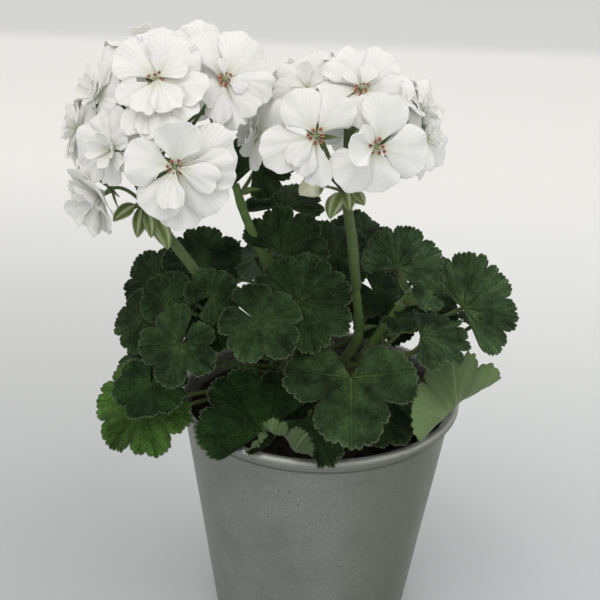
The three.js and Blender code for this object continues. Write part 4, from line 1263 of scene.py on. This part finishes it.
def floor_skin():
    """Plain pale floor, with painted shade towards the front and a painted shadow at the left, and a little
    deeper in tone past its far edge.
    """
    surface = Surface("floor_skin", 0.7, 0.1)
    x, y, _ = surface.split(surface.coordinates())
    tone = surface.mix(surface.noise(2.0, 2.0), (0.89, 0.89, 0.865), (0.91, 0.91, 0.885))
    # Painted shade: darker towards the front, near the plant
    tone = surface.mix(surface.fall(y, -0.05, 0.62), tone, (0.60, 0.625, 0.635))
    # Painted shadow of the plant on the left of the floor
    left = surface.times(surface.fall(x, -0.12, -0.02), surface.fall(y, 0.25, 0.6))
    tone = surface.mix(left, tone, surface.shaded(tone, (0.86, 0.86, 0.86)))
    surface.colour(surface.mix(surface.rise(y, 0.93, 0.99), tone, (0.745, 0.75, 0.74)))
    return surface.material


# Stage


def make_floor():
    """One large pale floor under the pot."""
    half = 3.5
    corners = [(-half, -half, 0), (half, -half, 0), (half, half, 0), (-half, half, 0)]
    mesh = bpy.data.meshes.new("floor")
    mesh.from_pydata(corners, [], [(0, 1, 2, 3)])
    mesh.materials.append(floor_skin())
    new_object("floor", mesh)


def make_light(name, face, distance, size, power, colour):
    """A soft square light that looks at the plant from a direction."""
    data = bpy.data.lights.new(name, "AREA")
    data.size = size
    data.energy = power
    data.color = colour
    light = new_object(name, data)
    way = Vector(direction(face))
    light.location = way * distance + Vector(LIGHT_TARGET)
    light.rotation_mode = "QUATERNION"
    light.rotation_quaternion = (-way).to_track_quat("-Z", "Y")


def make_world():
    """Even pale light from all round."""
    world = bpy.data.worlds.new("room")
    world.use_nodes = True
    background = world.node_tree.nodes["Background"]
    background.inputs["Color"].default_value = (0.99, 0.98, 0.97, 1)
    background.inputs["Strength"].default_value = 0.79
    bpy.context.scene.world = world


def make_camera():
    """The camera at the photograph's viewing angle."""
    data = bpy.data.cameras.new("camera")
    data.lens = CAMERA_LENS
    data.sensor_width = 36
    data.clip_start = 0.01
    data.clip_end = 20
    camera = new_object("camera", data)
    elevation, roll = math.radians(CAMERA_ELEVATION), math.radians(CAMERA_ROLL)
    back = Vector((0, -math.cos(elevation), math.sin(elevation)))
    right = Vector((1, 0, 0))
    up = Vector((0, math.sin(elevation), math.cos(elevation)))
    across = right * math.cos(roll) + up * math.sin(roll)
    upward = up * math.cos(roll) - right * math.sin(roll)
    place = (Vector(CAMERA_TARGET) + back * CAMERA_DISTANCE) * MM
    camera.matrix_world = Matrix.Translation(place) @ Matrix((across, upward, back)).transposed().to_4x4()
    bpy.context.scene.camera = camera


def build():
    """Everything of the plant and its pot that is seen."""
    hair = plain_skin("hair", (0.30, 0.35, 0.22), 0.6)
    stalk = plain_skin("stalk_skin", (0.10, 0.165, 0.036), 0.6, 0.4, 220, sheen_weight=0.15)
    sepal = plain_skin("sepal_skin", (0.13, 0.2, 0.05), 0.65, sheen_weight=0.3)
    petiole = plain_skin("petiole_skin", (0.13, 0.2, 0.055), 0.6)
    leaf_materials = [leaf_top(), leaf_under(), petiole, hair]
    leaves = [grown_leaf(place, leaf) for place, leaf in enumerate(LEAVES.values())]
    for name, leaf in zip(LEAVES, leaves):
        leaf_piece(name, leaf, leaf_materials)
    petal_materials = [
        petal_skin(),
        plain_skin("filament_skin", (0.75, 0.76, 0.62), 0.5),
        tinted_skin("anther_skin", 0.6, 1200),
        plain_skin("pistil_skin", (0.42, 0.5, 0.2), 0.5),
    ]
    for name, head in HEADS.items():
        petals_piece(name, head, petal_materials)
        stalk_piece(name, head, [stalk, sepal, hair, bud_skin()])
    stem_piece(leaves, [tinted_skin("wood_skin", 0.75, 260), sepal, hair])
    soil_piece([soil_skin()])
    pot_piece([pot_skin()])


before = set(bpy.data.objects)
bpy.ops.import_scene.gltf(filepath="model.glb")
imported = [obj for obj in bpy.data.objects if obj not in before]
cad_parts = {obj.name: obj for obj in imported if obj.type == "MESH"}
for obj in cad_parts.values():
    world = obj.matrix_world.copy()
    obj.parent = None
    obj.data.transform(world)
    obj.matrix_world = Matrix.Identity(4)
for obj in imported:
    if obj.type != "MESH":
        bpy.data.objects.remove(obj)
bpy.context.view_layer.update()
build()
make_floor()
make_world()
make_light("key", (-30, 62), 1.8, 1.3, 9, (1.0, 0.985, 0.95))
make_light("fill", (65, 40), 1.8, 1.4, 3, (0.95, 0.98, 1.0))
make_camera()
bpy.context.scene.view_settings.view_transform = "Standard"
